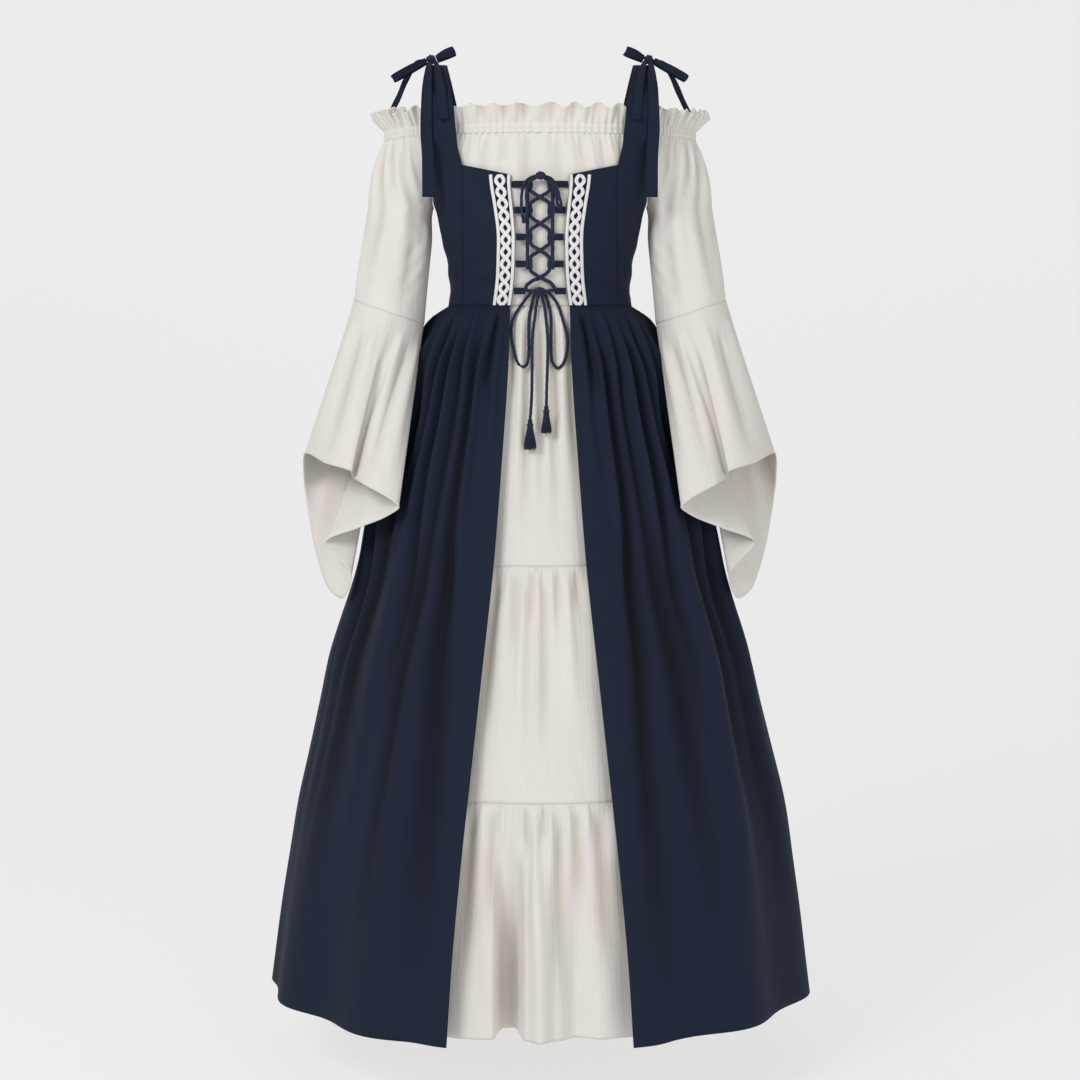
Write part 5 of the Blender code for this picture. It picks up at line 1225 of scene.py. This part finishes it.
cord("long_loop_right", "bow_loop_right", on_cream(LOOP_RIGHT, CORD_RADIUS + 0.0016))


def wrapped_knot(name, node, place, size, turns):
    """A knot: a round of cord wound over a small core, so its strands show."""
    steps = turns * 22
    share = np.linspace(0, 1, steps + 1)
    swing = 2 * math.pi * turns * share
    reach = np.sin(math.pi * (0.12 + 0.76 * share))
    size = np.array(size) / 2
    centre = np.array(place)
    path = centre + np.stack(((share - 0.5) * 1.3 * size[0], -np.cos(swing) * size[1] * 0.72 * reach,
                              np.sin(swing) * size[2] * 0.78 * reach), -1)
    winding = tube(name + "_winding", path, min(size) * 0.42, 12, NAVY_CORD)
    core = bmesh.new()
    bmesh.ops.create_icosphere(core, subdivisions=3, radius=1.0)
    bmesh.ops.scale(core, verts=core.verts, vec=size * 0.86)
    bmesh.ops.translate(core, verts=core.verts, vec=centre)
    core.from_mesh(winding.data)
    core.to_mesh(winding.data)
    core.free()
    winding.data.shade_smooth()
    winding.name = name
    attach(winding, "root")
    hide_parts(node)
    return winding


wrapped_knot("top_bow_knot", "bow_top_knot", (0.0008, lacing_depth(first + 0.0115) - 0.0109, first + 0.0115),
             (0.018, 0.008, 0.013), 3)
low = TAB_HEIGHTS[-1] - 0.001
wrapped_knot("lower_bow_knot", "bow_knot", (0.0, float(cream_front(0.0, low)) - 0.0062, low), (0.023, 0.011, 0.013), 4)

# %% [markdown]
# ## Tassels
# At each free end the cord is untwisted, bound into a small head and trimmed. About forty strands
# fall from the head and spread a little. Each strand is a thin closed tube with its own length.

# %% Tassels
def tassel(name, node, place, tall, wide):
    x, y, z = place
    strands = []
    for number in range(44):
        ring = math.sqrt((number + 0.5) / 44)
        turn = number * 2.39996
        out = (ring * math.cos(turn), ring * math.sin(turn))
        own = 1 - 0.10 * abs(math.sin(number * 7.3))
        points = [np.array((x + out[0] * wide_by, y + out[1] * deep_by, z + fall)) for wide_by, deep_by, fall in (
            (0.0014, 0.0012, TASSEL_HEAD + 0.003), (0.0036, 0.0027, TASSEL_HEAD * 0.35), (0.0037, 0.0028, 0.0),
            (0.30 * wide, 0.0038, -0.30 * tall), (0.44 * wide, 0.0048, -0.68 * tall),
            (0.47 * wide, 0.0052, -tall * own))]
        strands.append(tube("strand", smooth_path(points, 3), 0.00075, 6, NAVY_CORD, groove=0.0, taper=0.7))
    for height, band in ((0.0018, 0.0041), (0.0034, 0.0041), (0.0095, 0.0030)):
        ring = [np.array((x + band * math.cos(a), y + band * 0.78 * math.sin(a), z + height))
                for a in np.linspace(0, 2 * math.pi, 25)]
        strands.append(tube("binding", np.array(ring), 0.0009, 8, NAVY_CORD, groove=0.0))
    bundle = join_pieces(name, strands)
    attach(bundle, "root")
    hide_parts(node)
    return bundle


for label, points, tall, wide in (("left", TAIL_LEFT, 0.033, 0.019), ("right", TAIL_RIGHT, 0.029, 0.016)):
    laid = on_cream(points, CORD_RADIUS + 0.0030)
    x, y, z = laid[-1]
    hung = float(cream_front(x, z - tall - TASSEL_HEAD)) - 0.0062
    last = len(laid) - 1
    laid = [(px, py + (hung - y) * (i / last) ** 1.5, pz) for i, (px, py, pz) in enumerate(laid)]
    end = tassel("strand_tassel_" + label, "tassel_" + label, (x, hung, z - TASSEL_HEAD - 0.0013), tall, wide)
    tail, path = cord("free_end_" + label, "lace_tail_" + label, laid)

# %% [markdown]
# ## Tabs and shoulder ties
# The cords run through small tabs of folded navy cloth, and each shoulder strap ends in a turned
# strip tied as a bow. These strips have sewn edges and a soft twist, so they are grids
# along a path with rolled edges.

# %% Strips of cloth
def strip(name, node, points, widths, across, thick, density=(8, 10)):
    path = smooth_path([np.array(point) for point in points], density[1])
    wide = smooth_path([np.array((width, 0.0, 0.0)) for width in widths], density[1])[:, 0]
    direction = np.array(across, float)
    direction /= np.linalg.norm(direction)
    along = np.gradient(path, axis=0)
    along /= np.linalg.norm(along, axis=1, keepdims=True)
    level = direction - along * (along @ direction)[:, None]
    level /= np.linalg.norm(level, axis=1, keepdims=True)
    face = np.cross(along, level)
    length = path_length(path)

    def place(u, v):
        ripple = 0.0004 * np.sin(v * length * 170 + 3 * u) * np.sin(math.pi * v)
        bow = 0.0009 * np.cos((u - 0.5) * math.pi) - 0.0006 + ripple
        return path[:, None] + level[:, None] * (wide[:, None] * (u - 0.5))[..., None] + face[:, None] * bow[..., None]

    size = (float(max(wide)), length)
    piece = cloth(name, density[0], len(path) - 1, place, lambda u, v, points: 0 * u, size, NAVY_COTTON, thick,
                  middle=tuple(path[0][:2]),
                  stitch=lambda u, v: np.minimum(np.abs(u - 0.12), np.abs(0.88 - u)) * size[0])
    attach(piece, "root")
    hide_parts(node)
    return piece


TAB_TALL = 0.009
for side, label in ((-1, "left"), (1, "right")):
    for number, z in enumerate(TAB_HEIGHTS, 1):
        root = bodice_surface(column(FRONT_EDGE, "opening", z), z)
        end = np.array((COLUMN_X + CORD_RADIUS + 2 * SEAM_GAP, lacing_depth(z) - 0.0005, z))
        start = np.array((root[0] - 0.0016, root[1] - 0.0004, z))
        path = [p * np.array((side, 1, 1)) for p in (start, (start + end) / 2, end)]
        strip("lacing_tab_%s_%d" % (label, number), "tab_%s_%d" % (label, number), path, [TAB_TALL] * 3, (0, 0, 1),
              0.0017, density=(8, 8))

TIE_LIFT = 0.0050
for side, label in ((-1, "left"), (1, "right")):
    wrapped_knot("shoulder_knot_" + label, "tie_%s_knot" % label, (side * 0.1600, -0.006, 0.0096),
                 (0.016, 0.014, 0.013), 3)

    def tie(piece, points, widths, across):
        strip("shoulder_tie_%s_%s" % (label, piece), "tie_%s_%s" % (label, piece),
              [(side * x, y, z) for x, y, z in points], widths, (side * across[0], across[1], across[2]), 0.0014)

    tie("loop_in", [(0.1518, -0.010, 0.0110), (0.140, -0.014, 0.0165), (0.1290, -0.016, 0.0205),
                    (0.1255, -0.012, 0.0210), (0.1290, -0.008, 0.0200), (0.140, -0.004, 0.0155),
                    (0.1518, -0.002, 0.0095)],
        [0.009, 0.013, 0.014, 0.013, 0.014, 0.013, 0.009], (0.42, 0, 0.9))
    tie("loop_out", [(0.1674, -0.010, 0.0080), (0.190, -0.016, -0.0040), (0.2110, -0.024, -0.0170),
                     (0.2150, -0.021, -0.0200), (0.2110, -0.016, -0.0180), (0.190, -0.008, -0.0055),
                     (0.1674, -0.002, 0.0070)],
        [0.008, 0.011, 0.011, 0.010, 0.011, 0.011, 0.008], (0.55, 0, 0.83))
    tie("tail_side", [(0.1667, 0.0003, 0.0095), (0.183, 0.004, 0.0050), (0.197, 0.003, -0.018),
                      (0.208, -0.001, -0.044), (0.2190, -0.005, -0.0670)],
        [0.005, 0.010, 0.012, 0.012, 0.012], (0.6, 0.8, 0.35))
    hang = [tuple(bodice_surface(x, z, TIE_LIFT)) for x, z in
            ((0.1620, -0.0090), (0.1620, -0.0220), (0.1622, -0.0450), (0.1620, -0.0800), (0.1615, -0.1050))]
    below = hang[-1][1]
    tie("tail_long", [(0.1610, -0.0134, 0.0070)] + hang
        + [(0.1612, below - 0.002, -0.140), (0.1610, below - 0.003, -0.1960)],
        [0.006, 0.008, 0.011, 0.014, 0.016, 0.017, 0.017, 0.017], (1, 0, 0))
    lie = [tuple(bodice_surface(x, z, TIE_LIFT)) for x, z in
           ((0.1500, -0.0090), (0.1470, -0.0220), (0.1420, -0.0450), (0.1360, -0.0860))]
    tie("tail_short", [(0.1542, -0.0140, 0.0070)] + lie, [0.005, 0.008, 0.010, 0.0125, 0.014], (1, 0, 0))

# %% [markdown]
# ## Studio
# The photograph has a plain, pale, seamless backdrop and broad soft light from the front, a
# little stronger from the upper left, so folds get soft edges and no hard shadow falls on the floor.

# %% Backdrop and lights
BACKDROP = bpy.data.materials.new("seamless_paper")
BACKDROP.use_nodes = True
paper = BACKDROP.node_tree.nodes["Principled BSDF"]
paper.inputs["Base Color"].default_value = hex_colour("#898989")
paper.inputs["Roughness"].default_value = 1.0
paper.inputs["Specular IOR Level"].default_value = 0.0
paper.inputs["Emission Color"].default_value = (1.0, 1.0, 1.0, 1.0)
paper.inputs["Emission Strength"].default_value = 0.66
sweep = bmesh.new()
bmesh.ops.create_grid(sweep, x_segments=2, y_segments=40, size=0.5)
for vertex in sweep.verts:
    run = (vertex.co.y + 0.5) * 12.0
    bend = min(max((run - 7.0) / 2.4, 0.0), 1.0) * math.pi / 2
    y = -4.0 + min(run, 7.0) + 1.53 * math.sin(bend)
    z = 1.53 * (1 - math.cos(bend)) + max(run - 9.4, 0.0) * 2.0
    vertex.co = (vertex.co.x * 16.0, y, z - 1.47)
sweep_mesh = bpy.data.meshes.new("backdrop")
sweep.to_mesh(sweep_mesh)
sweep.free()
sweep_mesh.shade_smooth()
sweep_mesh.materials.append(BACKDROP)
backdrop = bpy.data.objects.new("backdrop", sweep_mesh)
bpy.context.scene.collection.objects.link(backdrop)


def soft_box(name, place, aim, size, watts):
    lamp = bpy.data.lights.new(name, "AREA")
    lamp.shape = "RECTANGLE"
    lamp.size, lamp.size_y = size
    lamp.energy = watts
    box = bpy.data.objects.new(name, lamp)
    box.location = place
    box.rotation_euler = (Vector(aim) - Vector(place)).to_track_quat("-Z", "Y").to_euler()
    bpy.context.scene.collection.objects.link(box)
    return box


world = bpy.data.worlds.new("studio_air")
world.use_nodes = True
world.node_tree.nodes["Background"].inputs["Color"].default_value = (1.0, 1.0, 1.0, 1.0)
world.node_tree.nodes["Background"].inputs["Strength"].default_value = 0.42
bpy.context.scene.world = world
bpy.context.scene.view_settings.view_transform = "Standard"
soft_box("key_box", (-2.2, -3.0, 1.6), (0.0, 0.0, -0.6), (1.5, 1.5), 86.0)
soft_box("fill_box", (2.0, -3.2, -0.5), (0.0, 0.0, -0.9), (2.2, 2.2), 34.0)
print("lights and backdrop ready")
